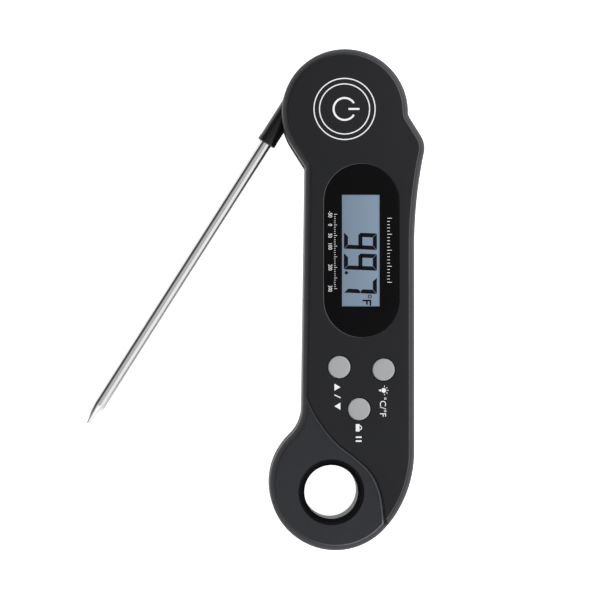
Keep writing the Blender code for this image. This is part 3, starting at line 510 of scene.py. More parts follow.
def cut_hanging_hole(cover):
    top = THICKNESS - RING_DROP
    mouth = quarter(HOLE_RADIUS + HOLE_ROUND, top - HOLE_ROUND, -HOLE_ROUND, 0, 10)
    foot = quarter(HOLE_RADIUS + GAP * 2, GAP * 2, -GAP * 2, -90, 4)
    profile = [(0, -MM), (HOLE_RADIUS + 1.2 * MM, -MM), (HOLE_RADIUS + GAP * 2, 0)]
    profile += foot[1:] + mouth + [(HOLE_RADIUS + HOLE_ROUND, top + 2 * MM), (0, top + 2 * MM)]
    carve(cover, spun("hole_tool", profile, (HOLE.x, HOLE.y, 0), 96))


def flared_hole(cover, place, radius, floor, top, flare=0.18 * MM, sides=64):
    """Hole from a floor up through the face, with a small chamfer at its mouth."""
    tool = spun("hole", [(0, floor), (radius, floor), (radius, top - flare), (radius + flare, top),
                         (radius + flare, top + MM), (0, top + MM)], (*place, 0), sides)
    carve(cover, tool)


def rimmed_blank(name, low, top):
    """Body blank with a sloped rim round its top face, softened at both of its edges."""
    piece = body_blank(name, 0, low, top)
    pick(piece, "EDGE", level(top))
    bpy.ops.mesh.bevel(offset=RIM_WIDTH, segments=1)
    leave()
    for height, width in ((top, RIM_TOP_SOFT), (top - RIM_WIDTH, RIM_FOOT_SOFT)):
        bevel_edges(piece, level(height), width, 4)
    return piece


def front_cover():
    cover = rimmed_blank("front_cover_shell", SEAM_HIGH, THICKNESS)
    bevel_edges(cover, level(SEAM_HIGH), SEAM_SOFT, 2)
    region = ring_region(*REGION_LEVELS)
    carve(region, rimmed_blank("low_ring", SEAM_HIGH, THICKNESS - RING_DROP))
    carve(cover, region)
    close_slits(carve(cover, panel_groove()))
    carve(cover, cover_hollow(SEAM_HIGH - MM, CEILING))
    cut_hub_pocket(cover)
    cut_hanging_hole(cover)
    carve(cover, cylinder("trunnion", (0, 0), TRUNNION, *FRONT_TRUNNION), "UNION")
    carve(cover, stadium_blank("lens_seat", SEAT_GROW, SEAT_FLOOR, THICKNESS + MM))
    flare = stadium_blank("lens_flare", SEAT_FLARE, *SEAT_FLARE_LEVELS)
    pick(flare, "VERT", lambda co: co.z < THICKNESS)
    bpy.ops.transform.resize(value=SEAT_FLARE_SHRINK,
                             center_override=(LENS_X, (LENS_TOP + LENS_FOOT) / 2, 0))
    leave()
    carve(cover, flare)
    carve(cover, block("window", (*WINDOW[0], PANEL_UNDER), (*WINDOW[1], THICKNESS)))
    for place in BUTTONS.values():
        flared_hole(cover, place, BUTTON_HOLE, PANEL_UNDER, THICKNESS)
    for place in SCREWS:
        carve(cover, cylinder("pilot", place, PILOT_RADIUS, SEAM_HIGH - MM, PILOT_TOP, 20))
    return cover


def back_cover():
    cover = body_blank("back_cover_shell", 0, 0, SEAM_LOW)
    bevel_edges(cover, level(0), BACK_ROUND, 5)
    bevel_edges(cover, level(SEAM_LOW), SEAM_SOFT, 2)
    hollow = cover_hollow(FLOOR, SEAM_LOW + MM)
    carve(hollow, cylinder("magnet_cup", MAGNET, 7.4 * MM, FLOOR - MM, 3.7 * MM, 64))
    carve(cover, hollow)
    cut_hub_pocket(cover)
    cut_hanging_hole(cover)
    carve(cover, cylinder("trunnion", (0, 0), TRUNNION, *BACK_TRUNNION), "UNION")
    carve(cover, cylinder("bore", (0, 0), LEAD_BORE, 3.2 * MM, AXIS_Z, 48))
    carve(cover, block("lead_groove", (-2 * MM, -23.9 * MM, 3.5 * MM), (2 * MM, -1.7 * MM, 5.7 * MM)))
    carve(cover, cylinder("door_hole", CELL, DOOR_RADIUS + 0.25 * MM, -MM, FLOOR + MM, 96))
    for number in range(TAB_COUNT):
        notch = sector("door_notch", CELL, 9.4 * MM, 13.4 * MM, 36 + TAB_STEP * number, 28,
                       -MM, FLOOR + MM, 10)
        carve(cover, notch)
    carve(cover, cylinder("magnet_seat", MAGNET, MAGNET_RADIUS + 0.2 * MM, -MM, 2.6 * MM, 72))
    for place in SCREWS:
        carve(cover, cylinder("screw_seat", place, 2.2 * MM, -MM, FLOOR, 32))
        carve(cover, cylinder("screw_way", place, PILOT_RADIUS, -MM, SEAM_LOW + MM, 20))
    return cover


# ---------------------------------------------------------------- display, buttons and prints

def plate(name, corners, low, high):
    """Thin flat piece traced round its corners."""
    piece = single_vertex(name, (*corners[0], low))
    for corner in corners[1:]:
        step_to((*corner, low))
    close_loop()
    raise_face(high - low)
    return piece


def washer(name, centre, outer, inner, low, high, sides=96):
    ring = cylinder(name, centre, outer, low, high, sides)
    return carve(ring, cylinder("inside", centre, inner, low - MM, high + MM, sides))


def sector(name, centre, inner, outer, start, span, low, high, steps=24):
    first = Vector(centre) + polar(start) * outer
    piece = single_vertex(name, (first.x, first.y, low))
    sweep((*centre, low), span, steps)
    turn_back = Vector(centre) + polar(start + span) * inner
    step_to((turn_back.x, turn_back.y, low))
    sweep((*centre, low), -span, steps)
    close_loop()
    raise_face(high - low)
    return piece


def together(name, pieces):
    clear_selection()
    for piece in pieces:
        piece.select_set(True)
    bpy.context.view_layer.objects.active = pieces[0]
    bpy.ops.object.join()
    pieces[0].name = name
    pieces[0].data.name = name
    return pieces[0]


def reading(places, origin):
    """Label points (along the line, up the letter) turned so that the line runs to -Y."""
    return [(origin[0] + up, origin[1] - along) for along, up in places]


def lettering(name, words, middle, height, length, low, high):
    """Printed figures whose line runs to -Y, fitted to a height and a length."""
    clear_selection()
    bpy.ops.object.text_add(location=(0, 0, 0))
    text = bpy.context.object
    text.data.body = words
    text.data.align_x = "CENTER"
    text.data.align_y = "CENTER"
    text.data.extrude = 0.5
    text.data.resolution_u = 4
    bpy.ops.object.convert(target="MESH")
    piece = bpy.context.object
    piece.name = name
    span = piece.dimensions.copy()
    piece.data.transform(Matrix.Diagonal((length / span.x, height / span.y, high - low, 1)))
    piece.rotation_euler.z = math.radians(-90)
    piece.location = (*middle, (low + high) / 2)
    return outward(place_into_mesh(piece))


def display_lens():
    lens = stadium_blank("lens", LENS_GROW, SEAT_FLOOR + GAP, THICKNESS)
    bevel_edges(lens, level(THICKNESS), LENS_EDGE, 3)
    pocket = block("pocket", (*WINDOW[0], THICKNESS - 0.28 * MM), (*WINDOW[1], THICKNESS + MM))
    return carve(lens, pocket)


def lcd_window():
    slack = 0.04 * MM
    low = (WINDOW[0][0] + slack, WINDOW[0][1] + slack, THICKNESS - 0.27 * MM)
    high = (WINDOW[1][0] - slack, WINDOW[1][1] - slack, THICKNESS - 0.12 * MM)
    window = block("lcd_window", low, high)
    return bevel_edges(window, level(high[2]), 0.04 * MM, 2)


def segment_shapes(width, height, stroke, gap):
    """The mitred bars of a figure, in label points."""
    middle = height / 2
    inner = stroke + gap
    half = stroke / 2
    top = [(gap, height), (width - gap, height), (width - inner, height - stroke), (inner, height - stroke)]
    upper = [(width, height - gap), (width, middle + gap), (width - half, middle + gap),
             (width - stroke, middle + half + gap), (width - stroke, height - inner)]
    middle_bar = [(gap, middle), (half + gap, middle + half), (width - half - gap, middle + half),
                  (width - gap, middle), (width - half - gap, middle - half), (half + gap, middle - half)]

    def flipped(points):
        return [(along, height - up) for along, up in points]

    def mirrored(points):
        return [(width - along, up) for along, up in points]

    return {"a": top, "b": upper, "c": flipped(upper), "d": flipped(top), "f": mirrored(upper),
            "g": middle_bar}


def lcd_figures():
    low = THICKNESS - 0.125 * MM
    high = THICKNESS - 0.10 * MM
    lean = 0.04
    shapes = segment_shapes(5.1 * MM, 10.2 * MM, 1.25 * MM, 0.07 * MM)
    base_x = -0.45 * MM
    bars = []
    for figure, start_y in READING:
        for key in DIGIT[figure]:
            leaning = [(along + lean * up, up) for along, up in shapes[key]]
            bars.append(plate("bar", reading(leaning, (base_x, start_y)), low, high))
    bars.append(cylinder("point", (0.3 * MM, -49.85 * MM), 0.52 * MM, low, high, 24))
    bars.append(washer("degree", (7.55 * MM, -57.2 * MM), 0.6 * MM, 0.36 * MM, low, high, 32))
    letter = [(0, 0), (0.5, 0), (0.5, 1.1), (1.5, 1.1), (1.5, 1.6), (0.5, 1.6), (0.5, 2.2),
              (1.85, 2.2), (1.85, 2.7), (0, 2.7)]
    bars.append(plate("unit", reading([(a * MM, b * MM) for a, b in letter], (5.3 * MM, -58.2 * MM)),
                      low, high))
    return together("lcd_figures", bars)


def head_print():
    centre = (-0.25 * MM, 0.8 * MM)
    line = 0.34 * MM
    rings = [washer("print", centre, radius + line / 2, radius - line / 2, *INK, 128)
             for radius in (9.45 * MM, 7.75 * MM)]
    rings.append(sector("print", centre, 3.1 * MM, 3.7 * MM, 32, 296, *INK, 48))
    rings.append(block("print", (centre[0] + 1.2 * MM, centre[1] - 0.3 * MM, INK[0]),
                       (centre[0] + 4.6 * MM, centre[1] + 0.3 * MM, INK[1])))
    return together("head_print", rings)


def lens_print():
    """A scale with figures to the left of the display and a plain row of ticks to its right."""
    marks = []
    for value in SCALE_FIGURES:
        along = SCALE_START + (value - SCALE_FIGURES[0]) * SCALE_STEP
        size = 0.62 * MM * len(str(value))
        marks.append(lettering("print", str(value), (-4.75 * MM, -along), 1.2 * MM, size, *INK))
    for index in range(36):
        y = -SCALE_START - index * 10 * SCALE_STEP
        reach = 0.9 * MM if index % 5 == 0 else 0.45 * MM
        marks.append(block("print", (-3.5 * MM, y - 0.07 * MM, INK[0]),
                           (-3.5 * MM + reach, y + 0.07 * MM, INK[1])))
    for index in range(21):
        y = -33.0 * MM - index * 0.99 * MM
        reach = 1.4 * MM if index % 5 == 0 else 0.8 * MM
        marks.append(block("print", (12.95 * MM, y - 0.08 * MM, INK[0]),
                           (12.95 * MM + reach, y + 0.08 * MM, INK[1])))
    return together("lens_print", marks)


def label(shape, place):
    """Flat printed shape from label points in millimetres."""
    return plate("print", reading([(a * MM, b * MM) for a, b in shape], (place[0] * MM, place[1] * MM)), *INK)


def button_print():
    up = [(0, 0), (2.2, 0), (1.1, 1.85)]
    down = [(0, 1.85), (1.1, 0), (2.2, 1.85)]
    slash = [(0, 0), (0.35, 0), (1.25, 1.9), (0.9, 1.9)]
    lock = [(0, 0), (2.3, 0), (2.3, 1.15), (0, 1.15)]
    pause = [(0, 0), (0.5, 0), (0.5, 1.8), (0, 1.8)]
    marks = [label(up, (-3.4, -84.1)), label(slash, (-3.4, -87.4)), label(down, (-3.4, -90.0)),
             label(lock, (3.2, -96.6)), label(pause, (3.2, -100.4)), label(pause, (3.2, -101.6))]
    marks.append(sector("print", (4.35 * MM, -97.75 * MM), 0.5 * MM, 0.78 * MM, -90, 180, *INK))
    bulb = (11.85 * MM, -86.2 * MM)
    marks.append(cylinder("print", bulb, 0.72 * MM, *INK, 32))
    for reach, half in ((1.15, 0.36), (1.5, 0.24)):
        marks.append(block("print", (bulb[0] - reach * MM, bulb[1] - half * MM, INK[0]),
                           (bulb[0] - (reach - 0.28) * MM, bulb[1] + half * MM, INK[1])))
    for turn in (-80, -40, 0, 40, 80):
        ray = block("print", (bulb[0] + 1.0 * MM, bulb[1] - 0.09 * MM, INK[0]),
                    (bulb[0] + 1.5 * MM, bulb[1] + 0.09 * MM, INK[1]))
        marks.append(turn_on_z(ray, turn, (*bulb, 0)))
    marks.append(lettering("print", "°C/°F", (11.5 * MM, -91.3 * MM), 2.0 * MM, 5.9 * MM, *INK))
    return together("button_print", marks)


def button_cap(key):
    flange = BUTTON_RADIUS + 0.9 * MM
    soft = 0.45 * MM
    crown = 0.05 * MM
    edge = quarter(BUTTON_RADIUS - soft, BUTTON_TOP - soft - crown, soft, 0, 6)
    profile = [(0, 14.3 * MM), (1.7 * MM, 14.3 * MM), (1.7 * MM, 14.6 * MM), (flange, 14.6 * MM),
               (flange, 15.3 * MM), (BUTTON_RADIUS, 15.3 * MM)] + edge
    profile += [(1.8 * MM, BUTTON_TOP - 0.015 * MM), (0, BUTTON_TOP)]
    return spun(f"{key}_cap", profile, (*BUTTONS[key], 0), 72)


# ---------------------------------------------------------------- hub, probe and back

def to_rest(piece):
    return turn_on_z(piece, -OPENING)


def probe_hub():
    edge = 0.4 * MM
    profile = [(0, HUB_LOW), (HUB_RADIUS - edge, HUB_LOW)]
    profile += quarter(HUB_RADIUS - edge, HUB_LOW + edge, edge, -90, 5)[1:]
    profile += quarter(HUB_RADIUS - edge, HUB_HIGH - edge, edge, 0, 5) + [(0, HUB_HIGH)]
    hub = spun("hub", profile, (0, 0, 0), 120)
    lip = 0.45 * MM
    neck = COLLAR_RADIUS - 0.12 * MM
    collar = [(0, 0), (neck, 0), (neck, COLLAR_REACH - 2 * MM), (COLLAR_RADIUS, COLLAR_REACH - 1.4 * MM)]
    collar += quarter(COLLAR_RADIUS - lip, COLLAR_REACH - lip, lip, 0, 5) + [(0, COLLAR_REACH)]
    carve(hub, spun("collar", collar, (PROBE_X, 0, AXIS_Z), 64, (0, -1, 0)), "UNION")
    carve(hub, cylinder("bore", (0, 0), TRUNNION + GAP, 0, 20 * MM, 72))
    for low, high in ((HUB_LOW - MM, HUB_LOW + SEAL_DEPTH), (HUB_HIGH - SEAL_DEPTH, HUB_HIGH + MM)):
        carve(hub, cylinder("seal_seat", (0, 0), TRUNNION + SEAL_WIDTH, low, high, 72))
    fit = PROBE_RADIUS + 0.12 * MM
    root = 4.2 * MM
    socket = [(0, root), (fit, root), (fit, COLLAR_REACH + MM), (0, COLLAR_REACH + MM)]
    carve(hub, spun("socket", socket, (PROBE_X, 0, AXIS_Z), 48, (0, -1, 0)))
    carve(hub, block("lead_way", (-16.56 * MM, -4.8 * MM, 8.1 * MM), (0, -1.1 * MM, 9.9 * MM)))
    carve(hub, cylinder("magnet_seat", (0, -12.775 * MM), 1.8 * MM, 7.7 * MM, 14 * MM, 32))
    return to_rest(close_slits(hub))


def probe_tube():
    inner = PROBE_RADIUS - PROBE_WALL
    taper = PROBE_REACH - PROBE_TAPER
    soft = [(PROBE_RADIUS - 0.012 * MM * step * step, taper + 0.22 * MM * step) for step in range(4)]
    tip = [(0.68 * MM, PROBE_REACH - 0.5 * MM), (0.62 * MM, PROBE_REACH - 0.26 * MM),
           (0.46 * MM, PROBE_REACH - 0.09 * MM), (0.22 * MM, PROBE_REACH - 0.01 * MM), (0, PROBE_REACH)]
    profile = [(0, taper), (inner * 0.8, taper - 0.3 * MM), (inner, taper - MM), (inner, PROBE_ROOT),
               (PROBE_RADIUS, PROBE_ROOT), (PROBE_RADIUS, COLLAR_REACH + 2 * MM)] + soft + tip
    return to_rest(spun("probe", profile, (PROBE_X, 0, AXIS_Z), 48, (0, -1, 0)))


def screw(number, place):
    low, high = GAP, 1.5 * MM
    profile = [(0, low), (1.45 * MM, low), (1.75 * MM, low + 0.12 * MM), (SCREW_HEAD, low + 0.4 * MM),
               (SCREW_HEAD, high), (SCREW_SHANK, high + 0.25 * MM)]
    for thread in range(9):
        z = high + (1.2 + thread) * MM
        profile += [(SCREW_SHANK - 0.12 * MM, z - 0.35 * MM), (SCREW_SHANK, z)]
    profile += [(SCREW_SHANK * 0.4, SCREW_END), (0, SCREW_END)]
    piece = spun(f"cover_screw_{number}", profile, (*place, 0), 32)
    for turn in (20 * number, 20 * number + 90):
        arm = block("recess", (place[0] - 1.15 * MM, place[1] - 0.24 * MM, -MM),
                    (place[0] + 1.15 * MM, place[1] + 0.24 * MM, low + 0.65 * MM))
        carve(piece, turn_on_z(arm, turn, (*place, 0)))
    return piece


def battery_door():
    groove_low, groove_high = 0.35 * MM, 1.65 * MM
    edge = 0.2 * MM
    profile = [(0, 0), (DOOR_RADIUS - edge, 0), (DOOR_RADIUS, edge), (DOOR_RADIUS, groove_low),
               (DOOR_SEAL_RADIUS, groove_low), (DOOR_SEAL_RADIUS, groove_high), (DOOR_RADIUS, groove_high),
               (DOOR_RADIUS, DOOR_HEIGHT), (DOOR_SKIRT_RADIUS, DOOR_HEIGHT), (DOOR_SKIRT_RADIUS, DOOR_WEB),
               (0, DOOR_WEB)]
    door = spun("door", profile, (*CELL, 0), 96)
    for number in range(TAB_COUNT):
        lug = sector("lug", CELL, DOOR_SEAL_RADIUS, 13.1 * MM, 78 + TAB_STEP * number, 24,
                     2.1 * MM, DOOR_HEIGHT, 8)
        carve(door, lug, "UNION")
    slot = block("slot", (CELL[0] - 7 * MM, CELL[1] - 0.9 * MM, -MM),
                 (CELL[0] + 7 * MM, CELL[1] + 0.9 * MM, 0.9 * MM))
    bevel_edges(slot, lambda a, b: abs(a.x - b.x) < NEAR and abs(a.y - b.y) < NEAR, 0.85 * MM, 6)
    carve(door, slot)
    # An odd number of sides keeps the line's corners off the door's own
    carve(door, washer("line", CELL, 9.6 * MM, 9.3 * MM, -MM, 0.15 * MM, 97))
    arrow = [(-1.17, 0.02), (1.23, 0.02), (0.03, 1.92)]
    corners = [(CELL[0] + a * MM, CELL[1] + (5.2 + b) * MM) for a, b in arrow]
    return carve(door, plate("arrow", corners, -MM, 0.2 * MM))


def back_magnet():
    disc = cylinder("magnet", MAGNET, MAGNET_RADIUS, GAP, 2.3 * MM, 96)
    bevel_edges(disc, level(GAP), 0.25 * MM, 3)
    return disc


# ---------------------------------------------------------------- finishes

def finish(name, colour, roughness, metallic=0.0, grain=0.2 * MM, relief=0.01 * MM, mottle=0.08,
           coat=0.0, spread=0.06, specular=0.5):
    """Solid finish with fine grain in its relief, and slow changes in tone and gloss."""
    material = bpy.data.materials.new(name)
    material.use_nodes = True
    tree = material.node_tree
    shader = tree.nodes["Principled BSDF"]
    shader.inputs["Metallic"].default_value = metallic
    shader.inputs["Coat Weight"].default_value = coat
    shader.inputs["Coat Roughness"].default_value = 0.04
    shader.inputs["Specular IOR Level"].default_value = specular
    link = tree.links.new
    where = tree.nodes.new("ShaderNodeTexCoord")
    fine = tree.nodes.new("ShaderNodeTexNoise")
    fine.inputs["Scale"].default_value = 1 / grain
    fine.inputs["Detail"].default_value = 3
    link(where.outputs["Object"], fine.inputs["Vector"])
    slow = tree.nodes.new("ShaderNodeTexNoise")
    slow.inputs["Scale"].default_value = 110
    slow.inputs["Detail"].default_value = 4
    link(where.outputs["Object"], slow.inputs["Vector"])
    tone = tree.nodes.new("ShaderNodeMix")
    tone.data_type = "RGBA"
    tone.inputs["A"].default_value = (*[value * (1 - mottle) for value in colour], 1)
    tone.inputs["B"].default_value = (*[min(1, value * (1 + mottle)) for value in colour], 1)
    link(slow.outputs["Fac"], tone.inputs["Factor"])
    link(tone.outputs["Result"], shader.inputs["Base Color"])
    gloss = tree.nodes.new("ShaderNodeMapRange")
    gloss.inputs["To Min"].default_value = max(0.02, roughness - spread)
    gloss.inputs["To Max"].default_value = roughness + spread
    link(fine.outputs["Fac"], gloss.inputs["Value"])
    link(gloss.outputs["Result"], shader.inputs["Roughness"])
    bump = tree.nodes.new("ShaderNodeBump")
    bump.inputs["Strength"].default_value = 0.6
    bump.inputs["Distance"].default_value = relief
    link(fine.outputs["Fac"], bump.inputs["Height"])
    link(bump.outputs["Normal"], shader.inputs["Normal"])
    return material


def multiply_tone(material, value):
    """Multiplies a finish's colour by a grey value from another node."""
    tree = material.node_tree
    product = tree.nodes.new("ShaderNodeMix")
    product.data_type = "RGBA"
    product.blend_type = "MULTIPLY"
    product.inputs["Factor"].default_value = 1
    base = tree.nodes["Principled BSDF"].inputs["Base Color"]
    tree.links.new(base.links[0].from_socket, product.inputs["A"])
    tree.links.new(value, product.inputs["B"])
    tree.links.new(product.outputs["Result"], base)


def value_range(tree, value, source, target):
    """Output that maps a value from one range to another, held within it."""
    step = tree.nodes.new("ShaderNodeMapRange")
    step.inputs["From Min"].default_value, step.inputs["From Max"].default_value = source
    step.inputs["To Min"].default_value, step.inputs["To Max"].default_value = target
    tree.links.new(value, step.inputs["Value"])
    return step.outputs["Result"]


def cover_finish():
    """Moulded black with a fine grain, a little paler below the level of the panel."""
    material = finish("moulded_black", (0.009, 0.0093, 0.011), 0.46, grain=0.16 * MM, relief=0.014 * MM,
                      mottle=0.16, specular=0.26)
    tree = material.node_tree
    link = tree.links.new
    where = tree.nodes.new("ShaderNodeTexCoord")
    split = tree.nodes.new("ShaderNodeSeparateXYZ")
    link(where.outputs["Object"], split.inputs["Vector"])
    face = THICKNESS - RING_DROP
    drop = value_range(tree, split.outputs["Z"], (face, face + RING_DROP / 2), (RING_TONE, 1.0))
    multiply_tone(material, drop)

    # Upper edges get a painted highlight where they turn to the right and painted shade where they turn to
    # the left
    surface = tree.nodes.new("ShaderNodeNewGeometry")
    slope = tree.nodes.new("ShaderNodeSeparateXYZ")
    link(surface.outputs["Normal"], slope.inputs["Vector"])
    above = value_range(tree, split.outputs["Z"], (face - 0.7 * MM, face - 0.4 * MM), (0.0, 1.0))
    # Painted shade where an edge's normal turns left, painted highlight where it turns right
    side = value_range(tree, slope.outputs["X"], (-0.25, 0.15), EDGE_HIGHLIGHT_AND_SHADE)
    # Mask of the painted edge light: steep rounded upper edges only
    painted_edge_mask = tree.nodes.new("ShaderNodeMath")
    painted_edge_mask.operation = "MULTIPLY"
    link(grey_ramp(tree, slope.outputs["Z"], EDGE_HIGHLIGHT_SLOPES), painted_edge_mask.inputs[0])
    link(above, painted_edge_mask.inputs[1])
    painted_edge_light = tree.nodes.new("ShaderNodeMix")
    painted_edge_light.inputs["A"].default_value = 1
    link(painted_edge_mask.outputs["Value"], painted_edge_light.inputs["Factor"])
    link(side, painted_edge_light.inputs["B"])
    multiply_tone(material, painted_edge_light.outputs["Result"])
    return material


def grey_ramp(tree, value, stops):
    """Ramp of greys through the given stops of (place, tone)."""
    node = tree.nodes.new("ShaderNodeValToRGB")
    tree.links.new(value, node.inputs["Fac"])
    while len(node.color_ramp.elements) < len(stops):
        node.color_ramp.elements.new(0.5)
    for element, (place, tone) in zip(node.color_ramp.elements, stops):
        element.position = place
        element.color = (tone, tone, tone, 1)
    return node.outputs["Color"]


def steel_finish():
    """Steel with painted reflections: light and dark bands that run along the probe, with painted shade
    towards its sides.
    """
    material = finish("steel_painted_reflections", (0.82, 0.82, 0.83), 0.2, 1.0, grain=0.12 * MM, relief=0.0012 * MM,
                      mottle=0.04)
    tree = material.node_tree
    link = tree.links.new
    where = tree.nodes.new("ShaderNodeTexCoord")
    turned = tree.nodes.new("ShaderNodeMapping")
    turned.inputs["Rotation"].default_value = (0, 0, math.radians(OPENING))
    link(where.outputs["Object"], turned.inputs["Vector"])
    split = tree.nodes.new("ShaderNodeSeparateXYZ")
    link(turned.outputs["Vector"], split.inputs["Vector"])
    across = value_range(tree, split.outputs["X"], (PROBE_X - PROBE_RADIUS, PROBE_X + PROBE_RADIUS), (0, 1))
    # Painted reflections and painted shade in bands across the probe's width
    multiply_tone(material, grey_ramp(tree, across, STEEL_PAINTED_REFLECTIONS))
    return material


def board_finish():
    """Solder mask with fine copper tracks that show through."""
    material = finish("solder_mask", (0.012, 0.10, 0.04), 0.35, coat=0.3)
    tree = material.node_tree
    shader = tree.nodes["Principled BSDF"]
    where = tree.nodes.new("ShaderNodeTexCoord")
    brick = tree.nodes.new("ShaderNodeTexBrick")
    brick.inputs["Scale"].default_value = 180
    brick.inputs["Mortar Size"].default_value = 0.03
    brick.inputs["Color1"].default_value = (0.012, 0.10, 0.04, 1)
    brick.inputs["Color2"].default_value = (0.016, 0.12, 0.05, 1)
    brick.inputs["Mortar"].default_value = (0.06, 0.26, 0.10, 1)
    tree.links.new(where.outputs["Object"], brick.inputs["Vector"])
    tree.links.new(brick.outputs["Color"], shader.inputs["Base Color"])
    return material


def make_finishes():
    return {
        "cover": cover_finish(),
        "gloss": finish("gloss_black", (0.006, 0.006, 0.007), 0.22, grain=0.5 * MM, relief=0.002 * MM,
                        specular=0.35),
        "lens": finish("tinted_lens", (0.003, 0.003, 0.0036), 0.12, grain=2 * MM, relief=0.0006 * MM,
                       spread=0.02, specular=0.06),
        "lcd": finish("lcd_field", (0.207, 0.28, 0.37), 0.3, grain=0.15 * MM, relief=0.001 * MM,
                      mottle=0.03, specular=0.3),
        "figures": finish("lcd_figures", (0.003, 0.003, 0.005), 0.5, relief=0.001 * MM, specular=0.1),
        "ink": finish("white_ink", (0.93, 0.93, 0.93), 0.5, grain=0.08 * MM, relief=0.002 * MM, mottle=0.03),
        "button": finish("grey_button", (0.40, 0.405, 0.41), 0.5, grain=0.14 * MM, relief=0.01 * MM,
                         mottle=0.06, specular=0.3),
        "steel": steel_finish(),
        "screw": finish("screw_steel", (0.42, 0.42, 0.43), 0.32, 1.0, grain=0.1 * MM, relief=0.003 * MM),
        "magnet": finish("nickel_plate", (0.66, 0.65, 0.62), 0.18, 1.0, grain=0.3 * MM, relief=0.002 * MM),
        "brass": finish("plated_brass", (0.72, 0.58, 0.32), 0.28, 1.0, relief=0.003 * MM),
        "rubber": finish("black_rubber", (0.014, 0.014, 0.014), 0.75, relief=0.02 * MM),
        "white": finish("white_plastic", (0.74, 0.74, 0.71), 0.45),
        "clear": finish("clear_plastic", (0.66, 0.72, 0.75), 0.12, relief=0.002 * MM, coat=0.5),
        "chip": finish("moulded_chip", (0.016, 0.016, 0.017), 0.55, grain=0.1 * MM),
        "board": board_finish(),
        "bead": finish("glass_bead", (0.32, 0.07, 0.03), 0.15, relief=0.004 * MM, coat=0.5),
        "wire": finish("wire_sleeve", (0.78, 0.78, 0.75), 0.5, relief=0.004 * MM),
    }


def dress(piece, material):
    piece.data.materials.clear()
    piece.data.materials.append(material)


def add(piece, material, body, replaced=None, angle=32):
    smooth(piece, angle)
    dress(piece, material)
    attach(piece, body)
    if replaced:
        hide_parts(replaced)


def add_pieces(paint):
    add(front_cover(), paint["cover"], "housing", "front_cover", 20)
    add(back_cover(), paint["cover"], "housing", "back_cover", 20)
    add(display_lens(), paint["lens"], "housing", "display_lens")
    add(lcd_window(), paint["lcd"], "housing")
    add(lcd_figures(), paint["figures"], "housing")
    add(head_print(), paint["ink"], "housing")
    add(lens_print(), paint["ink"], "housing")
    add(button_print(), paint["ink"], "housing")
    for key in BUTTONS:
        add(button_cap(key), paint["button"], f"{key}_key", f"{key}_button", 40)
    add(probe_hub(), paint["gloss"], "probe", "probe_hub")
    add(probe_tube(), paint["steel"], "probe", "probe_tube")
    add(battery_door(), paint["cover"], "door", "battery_door")
    add(back_magnet(), paint["magnet"], "housing", "back_magnet")
    for number, place in enumerate(SCREWS, 1):
        add(screw(number, place), paint["screw"], "housing", f"housing_screw_{number}")


def dress_frame(paint):
    """Finishes for the inner nodes that keep their own shape."""
    inner = {"lcd_glass": "lcd", "lcd_frame": "white", "light_guide": "clear", "backlight_led": "white",
             "zebra_strip": "rubber", "circuit_board": "board", "controller_chip": "chip",
             "reed_switch": "clear", "coin_cell": "magnet", "battery_spring_negative": "brass",
             "battery_clip_positive": "brass", "door_seal": "rubber", "lead_tail": "wire",
             "hub_seal_back": "rubber", "hub_seal_front": "rubber", "thermistor": "bead",
             "sensor_lead": "wire", "hub_magnet": "magnet"}
    for key in BUTTONS:
        inner[f"{key}_switch"] = "chip"
        inner[f"{key}_plunger"] = "button"
    for node, key in inner.items():
        dress(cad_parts[node], paint[key])


# ---------------------------------------------------------------- floor, light and camera

def floor():
    """White backdrop, lit from within a little so that it stays pale close to the object."""
    clear_selection()
    bpy.ops.mesh.primitive_plane_add(size=6, location=(0, 0, -0.1 * MM))
    ground = bpy.context.object
    ground.name = "studio_floor"
    paper = finish("pale_floor", (0.9, 0.9, 0.9), 0.7, grain=2 * MM, relief=0.001 * MM, mottle=0.004,
                   specular=0.1)
    shader = paper.node_tree.nodes["Principled BSDF"]
    shader.inputs["Emission Color"].default_value = (1, 1, 1, 1)
    shader.inputs["Emission Strength"].default_value = FLOOR_GLOW
    dress(ground, paper)


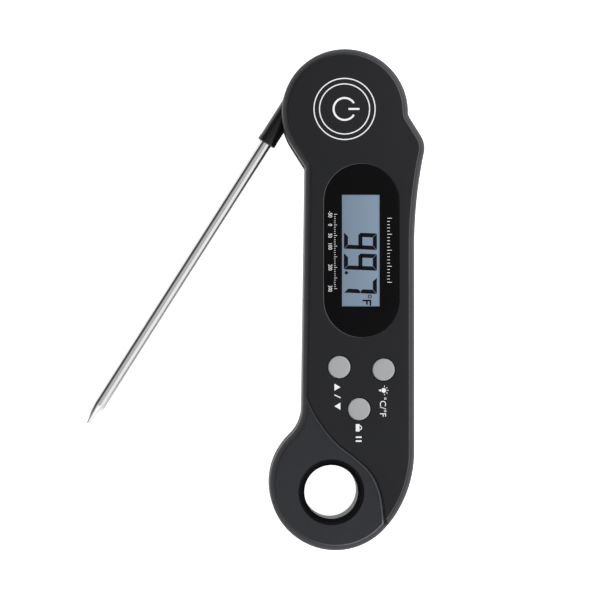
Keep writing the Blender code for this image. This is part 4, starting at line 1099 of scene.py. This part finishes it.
def area_light(name, place, target, size, power):
    clear_selection()
    bpy.ops.object.light_add(type="AREA", location=place)
    light = bpy.context.object
    light.name = name
    light.data.size = size
    light.data.energy = power
    light.rotation_euler = (Vector(target) - Vector(place)).to_track_quat("-Z", "Y").to_euler()


def studio_world():
    """Pale surroundings, darker in a band above the side that the probe folds out to."""
    world = bpy.data.worlds.new("studio")
    bpy.context.scene.world = world
    world.use_nodes = True
    tree = world.node_tree
    sky = tree.nodes["Background"]
    where = tree.nodes.new("ShaderNodeTexCoord")
    side = tree.nodes.new("ShaderNodeVectorMath")
    side.operation = "DOT_PRODUCT"
    side.inputs[1].default_value = (-0.844, 0.536, 0)
    tree.links.new(where.outputs["Generated"], side.inputs[0])
    across = value_range(tree, side.outputs["Value"], (-1, 1), (0, 1))
    tree.links.new(grey_ramp(tree, across, SKY_BANDS), sky.inputs["Color"])
    sky.inputs["Strength"].default_value = SKY_STRENGTH


def camera():
    eye = Vector((-37.2, -66.3, 900)) * MM
    aim = Vector((-13.8, -58.2, 9)) * MM
    clear_selection()
    bpy.ops.object.camera_add(location=eye)
    view = bpy.context.object
    view.name = "main_camera"
    back = (eye - aim).normalized()
    right = Vector((0, 1, 0)).cross(back).normalized()
    up = back.cross(right)
    view.matrix_world = Matrix.Translation(eye) @ Matrix((right, up, back)).transposed().to_4x4()
    view.data.sensor_width = 36
    view.data.lens = 36 * (eye - aim).length * VIEW_SCALE / 600
    view.data.clip_start = 0.02
    view.data.clip_end = 20
    bpy.context.scene.camera = view


def main():
    bpy.context.scene.view_settings.view_transform = "Standard"
    camera()
    paint = make_finishes()
    add_pieces(paint)
    dress_frame(paint)
    floor()
    studio_world()
    area_light("key", (0.9, 0.5, 0.55), (0, -0.05, 0), 1.0, 8)
    area_light("fill", (-0.5, -0.9, 0.9), (0, -0.05, 0), 1.0, 3)
    area_light("right_rim", (1.2, -0.1, 0.2), (0, -0.05, 0.01), 0.7, 0.8)
    area_light("top_rim", (0.0, 1.2, 0.2), (0, -0.05, 0.01), 0.7, 0.8)


main()
